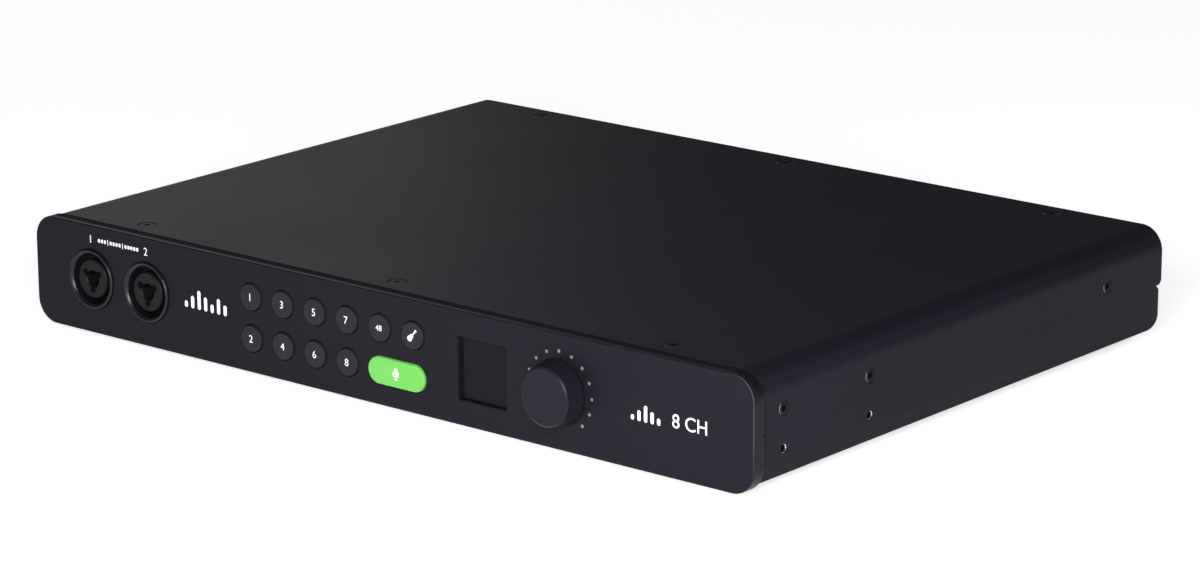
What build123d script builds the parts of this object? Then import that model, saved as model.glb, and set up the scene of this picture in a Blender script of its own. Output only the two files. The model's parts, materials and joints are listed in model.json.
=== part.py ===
from build123d import *
import math
import os

# One-rack-unit audio interface: a thick rounded front panel on a case of two folded
# aluminium shells, with boards, power supply and sockets inside. Millimetres. +Z is up,
# the front panel faces -Y. The origin is under the middle of the whole object, on the
# surface that the feet stand on.

# Front panel
PANEL_WIDTH = 362.2
PANEL_HEIGHT = 44.0
PANEL_THICKNESS = 6.0
PANEL_CORNER = 9.8
PANEL_EDGE = 0.5

# Case shells
CASE_DEPTH = 261.8          # front face of the panel to the rear edge of the top cover
SHELL_INSET = 1.5           # panel edge to shell side
SHELL_DROP = 0.24           # panel bottom edge to shell bottom
SHELL_WALL = 2.0
SHELL_CORNER = 9.5
SEAM_BELOW_MIDDLE = 1.0
SEAM_GAP = 0.3
SEAM_CHAMFER = 1.8
TRAY_FRONT_GAP = 1.2        # the tray stops short of the panel
TRAY_REAR_STEP = 1.8        # and of the top cover's rear edge
FLANGE_HEIGHT = 4.0
FLANGE_THICKNESS = 2.0
FIT_GAP = 0.1               # between pieces that are screwed or clipped together
FOOT_HEIGHT = 2.24
FOOT_RADIUS = 8.0
FOOT_INSET = 32.0

# Brackets and rails inside the case
PLATE_THICKNESS = 3.0
BRACKET_SIDE = 12.0
BRACKET_TOP = 3.2
LEAF_LENGTH = 12.0
RAIL_HEIGHT = 23.0
REAR_PANEL_THICKNESS = 2.5
REAR_PANEL_RECESS = 2.7     # rear edge of the top cover to the face of the rear panel

# Screws
COVER_SCREW_HEAD = 3.9
COVER_SCREW_SHANK = 1.75
COVER_SCREW_LENGTH = 5.4
COVER_SCREW_X = 133.0
COVER_SCREW_FRONT = 15.0
COVER_SCREW_REAR = 8.8      # in from the cover's rear edge
SIDE_SCREW_HEAD = 3.1
SIDE_SCREW_SHANK = 1.5
SIDE_SCREW_LENGTH = 5.5
SIDE_SCREW_ABOVE_MIDDLE = 6.3
SIDE_SCREW_REAR = 38.2
RACK_HOLE_RADIUS = 1.65
RACK_HOLE_BELOW_MIDDLE = 8.6
RACK_HOLE_FRONT = 19.3
RACK_HOLE_PITCH = 50.8
SCREW_SHANK = 1.5
SCREW_HEAD = 2.75
SCREW_HEAD_HEIGHT = 1.8
THREAD_GAP = 0.05
DRIVE_RADIUS = 1.2
DRIVE_DEPTH = 1.0
PANEL_SCREW_DEPTH = 3.2
CORNER_SCREW_FROM_SIDE = 10.0
CORNER_SCREW_SPREAD = 9.5

# Combined microphone and line sockets
JACK_RADIUS = 12.0
JACK_LIP = 1.7              # wall between the nose and the ring groove
JACK_GROOVE_WIDTH = 2.4
JACK_PROUD = 0.9
JACK_CORE_RECESS = 1.2
JACK_BORE = 3.25
JACK_PIN_RADIUS = 1.45
JACK_PIN_CIRCLE = 4.3
JACK_PIN_ANGLES = (150, 30, 270)
JACK_GROOVE_DEPTH = 14.0
JACK_LENGTH = 24.0
JACK_END = 2.0              # closed end behind the bore
JACK_BODY_MARGIN = 0.8      # body's side beyond the nose
JACK_CORNER = 3.0
JACK_SPACING = 5.2          # between the two bodies
JACK_PLACE = -0.371         # middle of the pair, as a share of the panel width
JACK_BOARD_HEIGHT = 30.0

# Push buttons
BUTTON_RADIUS = 5.25
BUTTON_GAP = 0.2
BUTTON_PROUD = 0.8
BUTTON_EDGE = 0.45
BUTTON_FLANGE = 1.0
BUTTON_FLANGE_GAP = 0.15
BUTTON_TRAVEL = 0.6
BUTTON_PITCH = 16.68
BUTTON_ROW = 8.25           # each row's distance from the middle height
BUTTON_COLUMNS = 6
BUTTON_PLACE = -0.0558      # middle of the block of buttons, as a share of the panel width
PILL_LENGTH = 28.2
STEM_RADIUS = 1.6
STEM_REACH = 1.6            # stem end inside its switch
SWITCH_SIZE = 6.0
SWITCH_HEIGHT = 3.4
RUNNING_GAP = 0.05
CONTROL_BOARD_DEPTH = 13.0
BOARD_THICKNESS = 1.6
CONTROL_BOARD_HEIGHT = 32.0

# Display
DISPLAY_WIDTH = 23.7
DISPLAY_HEIGHT = 24.2
DISPLAY_PLACE = 0.1526
DISPLAY_RECESS = 3.6
DISPLAY_MARGIN = 2.0
GLASS_THICKNESS = 1.2
MODULE_MARGIN = 3.0

# Rotary control
KNOB_PLACE = 0.2546
KNOB_BACK_RADIUS = 12.6
KNOB_FRONT_RADIUS = 11.3
KNOB_PROUD = 8.8
KNOB_CLEARANCE = 0.9
KNOB_EDGE = 0.7
KNOB_SKIRT = 3.0            # hollow under the knob
KNOB_HOLLOW = 8.0
KNOB_FACE = 2.0             # metal left in front of the bore
SHAFT_RADIUS = 3.0
SHAFT_FLAT = 1.5
BUSHING_WALL = 0.5
ENCODER_SIZE = 12.4
NUT_RADIUS = 5.8
NUT_THICKNESS = 2.0
NUT_RECESS_RADIUS = 6.6
NUT_RECESS = 2.4
PUSH_TRAVEL = 0.5
PLUNGER_LENGTH = 1.4
PLUNGER_RADIUS = 2.6
DOT_CIRCLE = 15.3
DOT_RADIUS = 0.7
DOT_COUNT = 13
DOT_STEP = 22.5

# Boards
STANDOFF_HEIGHT = 4.0
STANDOFF_RADIUS = 3.0
MAIN_BOARD_FRONT = 42.0
MAIN_BOARD_SIDE = 12.0
BOARD_SPLIT = 0.18          # where the main and power boards part, as a share of the width
BOARD_SPLIT_GAP = 6.0
BOARD_REAR_GAP = 6.0
BOARD_SCREW_INSET = 6.0
BOARD_SCREW_REAR = 26.0     # clear of the rear sockets
BOARD_SCREW_LENGTH = 4.8
CHIP_HEIGHT = 2.2
CHIP_ROW = 36.0
PREAMP_CHIP = 11.0
CONVERTER_CHIP = 15.0
PROCESSOR_CHIP = 24.0
TRANSFORMER_BACK = 92.0
CORE_SIZE = 34.0
CORE_HEIGHT = 22.0
WINDING_STEP = 4.0
WINDING_PROUD = 5.0
CAPACITOR_BACK = 50.0
CAPACITOR_RADIUS = 6.5
CAPACITOR_HEIGHT = 20.0
RESERVOIR_RADIUS = 9.0
RESERVOIR_HEIGHT = 26.0
HEATSINK_PLATE = 3.0
HEATSINK_FINS = 11
HEATSINK_PITCH = 8.0
HEATSINK_FIN = 2.0
HEATSINK_REACH = 9.0
RIBBON_WIDTH = 30.0
RIBBON_THICKNESS = 0.9
RIBBON_BEND = 3.0
RIBBON_LEAD = 10.0          # straight part behind the control board
RIBBON_FALL = 12.0          # and how far back it reaches the main board
RIBBON_TAIL = 12.0

# Rear sockets
REAR_JACK_COUNT = 6
REAR_JACK_SPACING = 2.0
REAR_JACK_PLACE = -0.225
OUTPUT_COLUMNS = 4
OUTPUT_PITCH = 16.0
OUTPUT_PLACE = 0.1
OUTPUT_BARREL = 4.4
OUTPUT_BORE = 3.25
OUTPUT_END = 2.0
OUTPUT_BODY_WIDTH = 13.0
OUTPUT_BODY_HEIGHT = 12.0
OUTPUT_BODY_LENGTH = 25.0
OUTPUT_NUT = 6.2
SOCKET_ROW = 8.0
SOCKET_LIFT = 0.16          # lower row's bodies above the board
OPTICAL_PLACE = 0.238
OPTICAL_PITCH = 15.0
OPTICAL_WIDTH = 13.0
OPTICAL_HEIGHT = 11.0
OPTICAL_LENGTH = 14.0
OPTICAL_MOUTH = 6.6
OPTICAL_MOUTH_DEPTH = 9.0
OPTICAL_CORNER = 1.2
OPTICAL_SHOULDER = 1.0      # body's side beyond the nose
SOCKET_PROUD = 1.0          # optical noses and clock bases beyond the rear panel
CLOCK_PLACE = 0.303
CLOCK_RADIUS = 4.85
CLOCK_WALL = 0.8
CLOCK_PIN = 0.8
CLOCK_REACH = 10.0          # beyond the rear edge of the top cover
CLOCK_LUG = 0.9
CLOCK_LUG_BACK = 4.0
CLOCK_PIN_RECESS = 2.0
CLOCK_BODY = 12.0
CLOCK_BODY_LENGTH = 16.0
CLOCK_THREAD = 6.2
ROCKER_PLACE = 0.353
ROCKER_WIDTH = 13.0
ROCKER_HEIGHT = 19.0
ROCKER_FRAME = 1.6
ROCKER_BODY_LENGTH = 18.0
ROCKER_TILT = 9.0
ROCKER_PROUD = 1.5
ROCKER_GAP = 0.35
ROCKER_SHELL = 1.2
ROCKER_DEPTH = 4.0          # pivot below the rear panel's face
ROCKER_PIN = 1.0
ROCKER_PIN_LENGTH = 1.1
ROCKER_BOSS = 2.4
ROCKER_DISH = 19.0
INLET_PLACE = 0.419
INLET_WIDTH = 27.0
INLET_HEIGHT = 19.8
INLET_RIM = 2.0
INLET_WALL = 1.4
INLET_LENGTH = 20.0
INLET_MOUTH_DEPTH = 17.0
INLET_CORNER = 3.5
INLET_PIN_LENGTH = 11.5
INLET_PIN_PITCH = 7.0
INLET_BLADE_WIDTH = 2.0
INLET_BLADE_HEIGHT = 4.0
INLET_LINE_DROP = 2.0
INLET_EARTH_RISE = 2.5

# Values worked out from the sizes above
REAR_REACH = CASE_DEPTH + CLOCK_REACH
FRONT_Y = -(REAR_REACH - KNOB_PROUD) / 2
BASE_Z = FOOT_HEIGHT - SHELL_DROP
MIDDLE_Z = PANEL_HEIGHT / 2
JACK_GROOVE = JACK_RADIUS - JACK_LIP
JACK_CORE = JACK_GROOVE - JACK_GROOVE_WIDTH
JACK_BODY = 2 * (JACK_RADIUS + JACK_BODY_MARGIN)
JACK_PITCH = JACK_BODY + JACK_SPACING
REAR_JACK_PITCH = JACK_BODY + REAR_JACK_SPACING
BUSHING_RADIUS = SHAFT_RADIUS + BUSHING_WALL
SEAM_Z = MIDDLE_Z - SEAM_BELOW_MIDDLE
SHELL_WIDTH = PANEL_WIDTH - 2 * SHELL_INSET
SHELL_HEIGHT = PANEL_HEIGHT - SHELL_DROP
SHELL_MIDDLE_Z = SHELL_DROP + SHELL_HEIGHT / 2
FLOOR_Z = SHELL_DROP + SHELL_WALL
CEILING_Z = PANEL_HEIGHT - SHELL_WALL
INNER_HALF_WIDTH = SHELL_WIDTH / 2 - SHELL_WALL
FRONT_BRACKET = PANEL_THICKNESS + FIT_GAP
REAR_FACE = CASE_DEPTH - REAR_PANEL_RECESS
REAR_PANEL_FRONT = REAR_FACE - REAR_PANEL_THICKNESS
REAR_BRACKET = REAR_PANEL_FRONT - FIT_GAP - PLATE_THICKNESS
TRAY_FRONT = PANEL_THICKNESS + TRAY_FRONT_GAP
TRAY_REAR = CASE_DEPTH - TRAY_REAR_STEP
ROCKER_AXIS = REAR_FACE - ROCKER_DEPTH
BOARD_Z = FLOOR_Z + STANDOFF_HEIGHT
BOARD_TOP_Z = BOARD_Z + BOARD_THICKNESS
SOCKET_MIDDLE_Z = BOARD_TOP_Z + SOCKET_LIFT + OUTPUT_BODY_HEIGHT / 2 + SOCKET_ROW
BOARD_REAR = REAR_BRACKET - BOARD_REAR_GAP
BUTTON_FLANGE_FRONT = PANEL_THICKNESS + BUTTON_FLANGE_GAP
SWITCH_FRONT = CONTROL_BOARD_DEPTH - SWITCH_HEIGHT
KNOB_X = KNOB_PLACE * PANEL_WIDTH
DISPLAY_X = DISPLAY_PLACE * PANEL_WIDTH
BUTTONS_X = BUTTON_PLACE * PANEL_WIDTH
SPLIT_X = BOARD_SPLIT * PANEL_WIDTH


def spread(count, pitch, middle=0.0):
    """Evenly spaced places along a line, centred on middle."""
    return [middle + (index - (count - 1) / 2) * pitch for index in range(count)]


def facing_plane(depth):
    """The upright plane at a depth behind the panel's face, drawn as seen from the front."""
    return Plane(origin=(0, FRONT_Y + depth, BASE_Z), x_dir=(1, 0, 0), z_dir=(0, -1, 0))


def slab(outline, depth, length):
    """Extrude an outline seen from the front, backwards from depth."""
    return extrude(facing_plane(depth) * outline, amount=-length)


def disc(x, z, radius):
    return Pos(x, z) * Circle(radius)


def block(x, z, width, height):
    return Pos(x, z) * Rectangle(width, height)


def rounded(x, z, width, height, corner):
    return Pos(x, z) * RectangleRounded(width, height, corner)


def rod(x, z, radius, depth, length):
    return slab(disc(x, z, radius), depth, length)


def box(x_low, x_high, depth_low, depth_high, z_low, z_high):
    """A box between two corners, with depth counted from the panel's face."""
    corner = Pos(x_low, FRONT_Y + depth_low, BASE_Z + z_low)
    size = (x_high - x_low, depth_high - depth_low, z_high - z_low)
    return corner * Box(*size, align=(Align.MIN, Align.MIN, Align.MIN))


def case_outline(inset):
    """The case's cross-section, moved in from the outside by inset."""
    width = SHELL_WIDTH - 2 * inset
    height = SHELL_HEIGHT - 2 * inset
    return rounded(0, SHELL_MIDDLE_Z, width, height, SHELL_CORNER - inset)


def save(node, solids):
    """Write one node. solids is one solid or a list of separate ones."""
    if not isinstance(solids, list):
        solids = [solids]
    whole = Compound(children=[piece for shape in solids for piece in shape.solids()])
    export_step(whole, f"parts/{node}.step")


# Places shared by the pieces that line up with them

BUTTON_X = spread(BUTTON_COLUMNS, BUTTON_PITCH, BUTTONS_X)
UPPER_ROW = MIDDLE_Z + BUTTON_ROW
LOWER_ROW = MIDDLE_Z - BUTTON_ROW
CHANNEL_PLACES = [(BUTTON_X[n // 2], UPPER_ROW if n % 2 == 0 else LOWER_ROW) for n in range(8)]
PHANTOM_PLACE = (BUTTON_X[4], UPPER_ROW)
INSTRUMENT_PLACE = (BUTTON_X[5], UPPER_ROW)
PILL_PLACE = ((BUTTON_X[4] + BUTTON_X[5]) / 2, LOWER_ROW)
ROUND_PLACES = CHANNEL_PLACES + [PHANTOM_PLACE, INSTRUMENT_PLACE]
FRONT_JACKS = spread(2, JACK_PITCH, JACK_PLACE * PANEL_WIDTH)
REAR_JACKS = spread(REAR_JACK_COUNT, REAR_JACK_PITCH, REAR_JACK_PLACE * PANEL_WIDTH)
OUTPUT_PLACES = [
    (x, SOCKET_MIDDLE_Z + side * SOCKET_ROW)
    for x in spread(OUTPUT_COLUMNS, OUTPUT_PITCH, OUTPUT_PLACE * PANEL_WIDTH)
    for side in (-1, 1)
]
OPTICAL_PLACES = [
    (x, SOCKET_MIDDLE_Z + side * SOCKET_ROW)
    for x in spread(2, OPTICAL_PITCH, OPTICAL_PLACE * PANEL_WIDTH)
    for side in (-1, 1)
]
CLOCK_PLACES = [
    (CLOCK_PLACE * PANEL_WIDTH, SOCKET_MIDDLE_Z + side * SOCKET_ROW) for side in (-1, 1)
]
ROCKER_X = ROCKER_PLACE * PANEL_WIDTH
INLET_X = INLET_PLACE * PANEL_WIDTH
RACK_HOLE_DEPTHS = [RACK_HOLE_FRONT, RACK_HOLE_FRONT + RACK_HOLE_PITCH]
SIDE_SCREW_DEPTHS = RACK_HOLE_DEPTHS + [CASE_DEPTH - SIDE_SCREW_REAR]
SIDE_SCREW_Z = MIDDLE_Z + SIDE_SCREW_ABOVE_MIDDLE
RACK_HOLE_Z = MIDDLE_Z - RACK_HOLE_BELOW_MIDDLE
COVER_SCREW_PLACES = [
    (x, depth)
    for x in (-COVER_SCREW_X, 0, COVER_SCREW_X)
    for depth in (COVER_SCREW_FRONT, CASE_DEPTH - COVER_SCREW_REAR)
]
CORNER_SCREW_X = INNER_HALF_WIDTH - CORNER_SCREW_FROM_SIDE + PLATE_THICKNESS
BRACKET_SCREW_PLACES = [
    (side * CORNER_SCREW_X, MIDDLE_Z + spot * CORNER_SCREW_SPREAD)
    for side in (-1, 1)
    for spot in (-1, 1)
]
DOT_PLACES = [
    (
        KNOB_X + DOT_CIRCLE * math.cos(math.radians(DOT_STEP * (n + 0.5 - DOT_COUNT / 2) + 90)),
        MIDDLE_Z + DOT_CIRCLE * math.sin(math.radians(DOT_STEP * (n + 0.5 - DOT_COUNT / 2) + 90)),
    )
    for n in range(DOT_COUNT)
]


def pill_outline(grow):
    height = 2 * (BUTTON_RADIUS + grow)
    return Pos(*PILL_PLACE) * SlotOverall(PILL_LENGTH + 2 * grow, height)


def front_panel():
    """A thick aluminium plate with a broken front edge, cut for everything it carries."""
    panel = slab(rounded(0, MIDDLE_Z, PANEL_WIDTH, PANEL_HEIGHT, PANEL_CORNER), 0, PANEL_THICKNESS)
    rim = panel.faces().sort_by(Axis.Y)[0].outer_wire().edges()
    panel = chamfer(rim, PANEL_EDGE)
    through = PANEL_THICKNESS
    panel -= [rod(x, MIDDLE_Z, JACK_RADIUS + FIT_GAP, 0, through) for x in FRONT_JACKS]
    panel -= [rod(x, z, BUTTON_RADIUS + BUTTON_GAP, 0, through) for x, z in ROUND_PLACES]
    panel -= slab(pill_outline(BUTTON_GAP), 0, through)
    panel -= slab(block(DISPLAY_X, MIDDLE_Z, DISPLAY_WIDTH, DISPLAY_HEIGHT), 0, through)
    pocket = block(
        DISPLAY_X,
        MIDDLE_Z,
        DISPLAY_WIDTH + 2 * (DISPLAY_MARGIN + FIT_GAP),
        DISPLAY_HEIGHT + 2 * (DISPLAY_MARGIN + FIT_GAP),
    )
    panel -= slab(pocket, DISPLAY_RECESS, through - DISPLAY_RECESS)
    panel -= rod(KNOB_X, MIDDLE_Z, BUSHING_RADIUS + FIT_GAP, 0, through)
    panel -= rod(KNOB_X, MIDDLE_Z, NUT_RECESS_RADIUS, 0, NUT_RECESS)
    panel -= [rod(x, z, DOT_RADIUS + RUNNING_GAP, 0, through) for x, z in DOT_PLACES]
    hole = SCREW_SHANK + THREAD_GAP
    start = through - PANEL_SCREW_DEPTH
    panel -= [rod(x, z, hole, start, PANEL_SCREW_DEPTH) for x, z in BRACKET_SCREW_PLACES]
    return panel


def shell_tube(depth_low, depth_high):
    """The case's wall as a rounded tube between two depths."""
    length = depth_high - depth_low
    outside = slab(case_outline(0), depth_low, length)
    return outside - slab(case_outline(SHELL_WALL), depth_low, length)


def seam_notch(depth):
    """A bar with a diamond section that breaks the shells' corners at the seam."""
    side = SEAM_CHAMFER * math.sqrt(2)
    place = Pos(0, FRONT_Y + depth, BASE_Z + SEAM_Z) * Rot(45, 0, 0)
    return place * Box(PANEL_WIDTH, side, side)


def side_hole(side, depth, z, radius, length):
    """A bore into the case's side, from outside inwards. side is -1 or 1."""
    place = Pos(side * SHELL_WIDTH / 2, FRONT_Y + depth, BASE_Z + z) * Rot(0, -90 * side, 0)
    return place * Cylinder(radius, length, align=(Align.CENTER, Align.CENTER, Align.MIN))


def countersunk_screw(head, shank, length, grow):
    """A screw pointing down with its head's face at the origin, or its clearance if grown."""
    cone = Cone(
        shank + grow, head + grow, head - shank, align=(Align.CENTER, Align.CENTER, Align.MAX)
    )
    return cone + Cylinder(shank + grow, length, align=(Align.CENTER, Align.CENTER, Align.MAX))


def socket_drive(radius, depth):
    """The hexagonal key socket in a screw's head, pointing down from the origin."""
    return extrude(RegularPolygon(radius, 6), amount=-depth)


def cover_screw(x, depth, grow):
    place = Pos(x, FRONT_Y + depth, BASE_Z + PANEL_HEIGHT)
    screw = countersunk_screw(COVER_SCREW_HEAD, COVER_SCREW_SHANK, COVER_SCREW_LENGTH, grow)
    if grow == 0:
        screw -= socket_drive(DRIVE_RADIUS, DRIVE_DEPTH)
    return place * screw


def side_screw(side, depth, grow):
    place = Pos(side * SHELL_WIDTH / 2, FRONT_Y + depth, BASE_Z + SIDE_SCREW_Z) * Rot(0, 90 * side, 0)
    screw = countersunk_screw(SIDE_SCREW_HEAD, SIDE_SCREW_SHANK, SIDE_SCREW_LENGTH, grow)
    if grow == 0:
        screw -= socket_drive(DRIVE_RADIUS, DRIVE_DEPTH)
    return place * screw


def top_cover():
    """The upper shell: the top and the upper half of both sides."""
    cover = shell_tube(PANEL_THICKNESS, CASE_DEPTH)
    reach = PANEL_WIDTH
    cover -= box(-reach, reach, 0, CASE_DEPTH, 0, SEAM_Z + SEAM_GAP / 2)
    cover -= [seam_notch(PANEL_THICKNESS), seam_notch(CASE_DEPTH)]
    cover -= [cover_screw(x, depth, THREAD_GAP) for x, depth in COVER_SCREW_PLACES]
    for side in (-1, 1):
        cover -= [side_screw(side, depth, THREAD_GAP) for depth in SIDE_SCREW_DEPTHS]
    return cover


def tray_flange(depth):
    """A strip folded up along the tray's front or rear edge, set into its floor."""
    half = INNER_HALF_WIDTH - BRACKET_SIDE - SHELL_CORNER
    return box(-half, half, depth, depth + FLANGE_THICKNESS, FLOOR_Z, FLOOR_Z + FLANGE_HEIGHT)


def bottom_tray():
    """The lower shell: the floor and the lower half of both sides, with folded flanges."""
    tray = shell_tube(TRAY_FRONT, TRAY_REAR)
    reach = PANEL_WIDTH
    tray -= box(-reach, reach, 0, CASE_DEPTH, SEAM_Z - SEAM_GAP / 2, 2 * PANEL_HEIGHT)
    tray -= [seam_notch(TRAY_FRONT), seam_notch(TRAY_REAR)]
    tray += tray_flange(TRAY_FRONT)
    tray += tray_flange(REAR_PANEL_FRONT - FIT_GAP - FLANGE_THICKNESS)
    for side in (-1, 1):
        tray -= [
            side_hole(side, depth, RACK_HOLE_Z, RACK_HOLE_RADIUS, SHELL_WALL)
            for depth in RACK_HOLE_DEPTHS
        ]
    return tray


def bracket(depth, leaf_depth):
    """An arch of plate inside the case, with a leaf under the top cover for its screws."""
    arch = case_outline(SHELL_WALL + FIT_GAP)
    opening_top = CEILING_Z - BRACKET_TOP
    arch -= block(0, opening_top / 2, 2 * (INNER_HALF_WIDTH - BRACKET_SIDE), opening_top)
    piece = slab(arch, depth, PLATE_THICKNESS)
    half = INNER_HALF_WIDTH - BRACKET_SIDE
    top = CEILING_Z - FIT_GAP
    piece += box(-half, half, leaf_depth, leaf_depth + LEAF_LENGTH, top - PLATE_THICKNESS, top)
    piece -= [cover_screw(x, place, THREAD_GAP) for x, place in COVER_SCREW_PLACES]
    hole = SCREW_SHANK + THREAD_GAP
    piece -= [rod(x, z, hole, depth, PLATE_THICKNESS) for x, z in BRACKET_SCREW_PLACES]
    return piece


def inlet_opening():
    """The way for the mains inlet's body through a plate."""
    width = INLET_WIDTH + 2 * FIT_GAP
    height = INLET_HEIGHT + 2 * FIT_GAP
    return rounded(INLET_X, MIDDLE_Z, width, height, INLET_CORNER + FIT_GAP)


def rear_bracket():
    """The back arch, which also clears the mains inlet's body."""
    arch = bracket(REAR_BRACKET, REAR_BRACKET - LEAF_LENGTH)
    return arch - slab(inlet_opening(), REAR_BRACKET, PLATE_THICKNESS)


def side_rail(side):
    """A bar along one side that takes the side screws and the rack-ear screws."""
    outer = INNER_HALF_WIDTH - FIT_GAP
    inner = outer - PLATE_THICKNESS
    x_low, x_high = sorted((side * inner, side * outer))
    front = FRONT_BRACKET + PLATE_THICKNESS
    low = MIDDLE_Z - RAIL_HEIGHT / 2
    rail = box(x_low, x_high, front, REAR_BRACKET, low, low + RAIL_HEIGHT)
    rail -= [side_screw(side, depth, THREAD_GAP) for depth in SIDE_SCREW_DEPTHS]
    through = SHELL_WALL + FIT_GAP + PLATE_THICKNESS
    rail -= [
        side_hole(side, depth, RACK_HOLE_Z, RACK_HOLE_RADIUS, through) for depth in RACK_HOLE_DEPTHS
    ]
    return rail


def pan_screw(x, z, head_depth, length):
    """A pan-head screw along the depth, with its tip towards the front."""
    shank = rod(x, z, SCREW_SHANK, head_depth - length, length)
    head = rod(x, z, SCREW_HEAD, head_depth, SCREW_HEAD_HEIGHT)
    drive_depth = head_depth + SCREW_HEAD_HEIGHT - DRIVE_DEPTH
    drive = slab(Pos(x, z) * RegularPolygon(DRIVE_RADIUS, 6), drive_depth, DRIVE_DEPTH)
    return shank + head - drive


def panel_screws():
    """Four screws into the panel from its bracket and four into the rear bracket."""
    front_length = PLATE_THICKNESS + PANEL_SCREW_DEPTH - FIT_GAP
    front_head = FRONT_BRACKET + PLATE_THICKNESS
    rear_length = REAR_PANEL_THICKNESS + FIT_GAP + PLATE_THICKNESS
    screws = [pan_screw(x, z, front_head, front_length) for x, z in BRACKET_SCREW_PLACES]
    return screws + [pan_screw(x, z, REAR_FACE, rear_length) for x, z in BRACKET_SCREW_PLACES]


def jack_outline(x):
    return rounded(x, MIDDLE_Z, JACK_BODY, JACK_BODY, JACK_CORNER)


def jack_housing(x, face, panel_back, facing):
    """The outer body: a round nose through the panel and a square block behind it.

    face is the depth of the nose's outer end, and facing is 1 at the front, -1 at the rear.
    """
    nose = abs(panel_back - face)
    length = JACK_LENGTH - nose
    if facing > 0:
        housing = rod(x, MIDDLE_Z, JACK_RADIUS, face, nose)
        housing += slab(jack_outline(x), panel_back, length)
        housing -= rod(x, MIDDLE_Z, JACK_GROOVE, face, JACK_GROOVE_DEPTH)
        housing -= rod(x, MIDDLE_Z, JACK_CORE + FIT_GAP, face, JACK_LENGTH)
    else:
        housing = rod(x, MIDDLE_Z, JACK_RADIUS, face - nose, nose)
        housing += slab(jack_outline(x), panel_back - length, length)
        housing -= rod(x, MIDDLE_Z, JACK_GROOVE, face - JACK_GROOVE_DEPTH, JACK_GROOVE_DEPTH)
        housing -= rod(x, MIDDLE_Z, JACK_CORE + FIT_GAP, face - JACK_LENGTH, JACK_LENGTH)
    return housing


def jack_insert(x, face, facing):
    """The core that the plugs go into: one round bore with three pin holes opening from it."""
    length = JACK_LENGTH - JACK_CORE_RECESS
    bore_length = length - JACK_END
    start = face + JACK_CORE_RECESS if facing > 0 else face - JACK_LENGTH
    bore_start = start if facing > 0 else start + JACK_END
    holes = disc(x, MIDDLE_Z, JACK_BORE)
    for angle in JACK_PIN_ANGLES:
        turn = math.radians(angle)
        hole_x = x + JACK_PIN_CIRCLE * math.cos(turn)
        holes += disc(hole_x, MIDDLE_Z + JACK_PIN_CIRCLE * math.sin(turn), JACK_PIN_RADIUS)
    core = rod(x, MIDDLE_Z, JACK_CORE, start, length)
    return core - slab(holes, bore_start, bore_length)


def front_jack_board():
    """The small board on the back of the two front sockets."""
    depth = JACK_LENGTH - JACK_PROUD + FIT_GAP
    middle = sum(FRONT_JACKS) / 2
    outline = block(middle, MIDDLE_Z, JACK_PITCH + JACK_BODY, JACK_BOARD_HEIGHT)
    return slab(outline, depth, BOARD_THICKNESS)


def push_button(outline, flange, x, z):
    """A cap with a rounded front edge, a flange that keeps it in and a stem to its switch."""
    cap = slab(outline, -BUTTON_PROUD, BUTTON_PROUD + BUTTON_FLANGE_FRONT)
    rim = cap.faces().sort_by(Axis.Y)[0].outer_wire().edges()
    cap = fillet(rim, BUTTON_EDGE)
    cap += slab(flange, BUTTON_FLANGE_FRONT, BUTTON_FLANGE)
    stem_start = BUTTON_FLANGE_FRONT + BUTTON_FLANGE
    stem = rod(x, z, STEM_RADIUS, stem_start, SWITCH_FRONT + STEM_REACH - stem_start)
    return cap + stem


def round_button(place):
    x, z = place
    return push_button(disc(x, z, BUTTON_RADIUS), disc(x, z, BUTTON_RADIUS + BUTTON_FLANGE), x, z)


def pill_button():
    x, z = PILL_PLACE
    return push_button(pill_outline(0), pill_outline(BUTTON_FLANGE), x, z)


def button_switches():
    """The small square switches behind the buttons, each with the bore its stem runs in."""
    switches = []
    for x, z in ROUND_PLACES + [PILL_PLACE]:
        body = slab(block(x, z, SWITCH_SIZE, SWITCH_SIZE), SWITCH_FRONT, SWITCH_HEIGHT)
        depth = STEM_REACH + BUTTON_TRAVEL + 2 * FIT_GAP
        switches.append(body - rod(x, z, STEM_RADIUS + RUNNING_GAP, SWITCH_FRONT, depth))
    return switches


def control_board():
    """The upright board behind the panel that carries the switches, display and encoder."""
    left = BUTTON_X[0] - BUTTON_PITCH / 2
    right = KNOB_X + DOT_CIRCLE + 2 * DISPLAY_MARGIN
    outline = block((left + right) / 2, MIDDLE_Z, right - left, CONTROL_BOARD_HEIGHT)
    return slab(outline, CONTROL_BOARD_DEPTH, BOARD_THICKNESS)


def display_window():
    outline = block(
        DISPLAY_X, MIDDLE_Z, DISPLAY_WIDTH + 2 * DISPLAY_MARGIN, DISPLAY_HEIGHT + 2 * DISPLAY_MARGIN
    )
    return slab(outline, DISPLAY_RECESS, GLASS_THICKNESS)


def display_module():
    """The display in its carrier, between the panel's back and the control board."""
    width = DISPLAY_WIDTH + 2 * (DISPLAY_MARGIN + MODULE_MARGIN)
    height = DISPLAY_HEIGHT + 2 * MODULE_MARGIN
    start = PANEL_THICKNESS + FIT_GAP
    return slab(block(DISPLAY_X, MIDDLE_Z, width, height), start, CONTROL_BOARD_DEPTH - start)


def shaft_outline(grow):
    """The shaft's section: round, with one flat for the knob."""
    section = disc(KNOB_X, MIDDLE_Z, SHAFT_RADIUS + grow)
    cut_z = MIDDLE_Z + 2 * SHAFT_RADIUS - SHAFT_FLAT + grow
    cut = block(KNOB_X, cut_z, 4 * SHAFT_RADIUS, 2 * SHAFT_RADIUS)
    return section - cut


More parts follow.
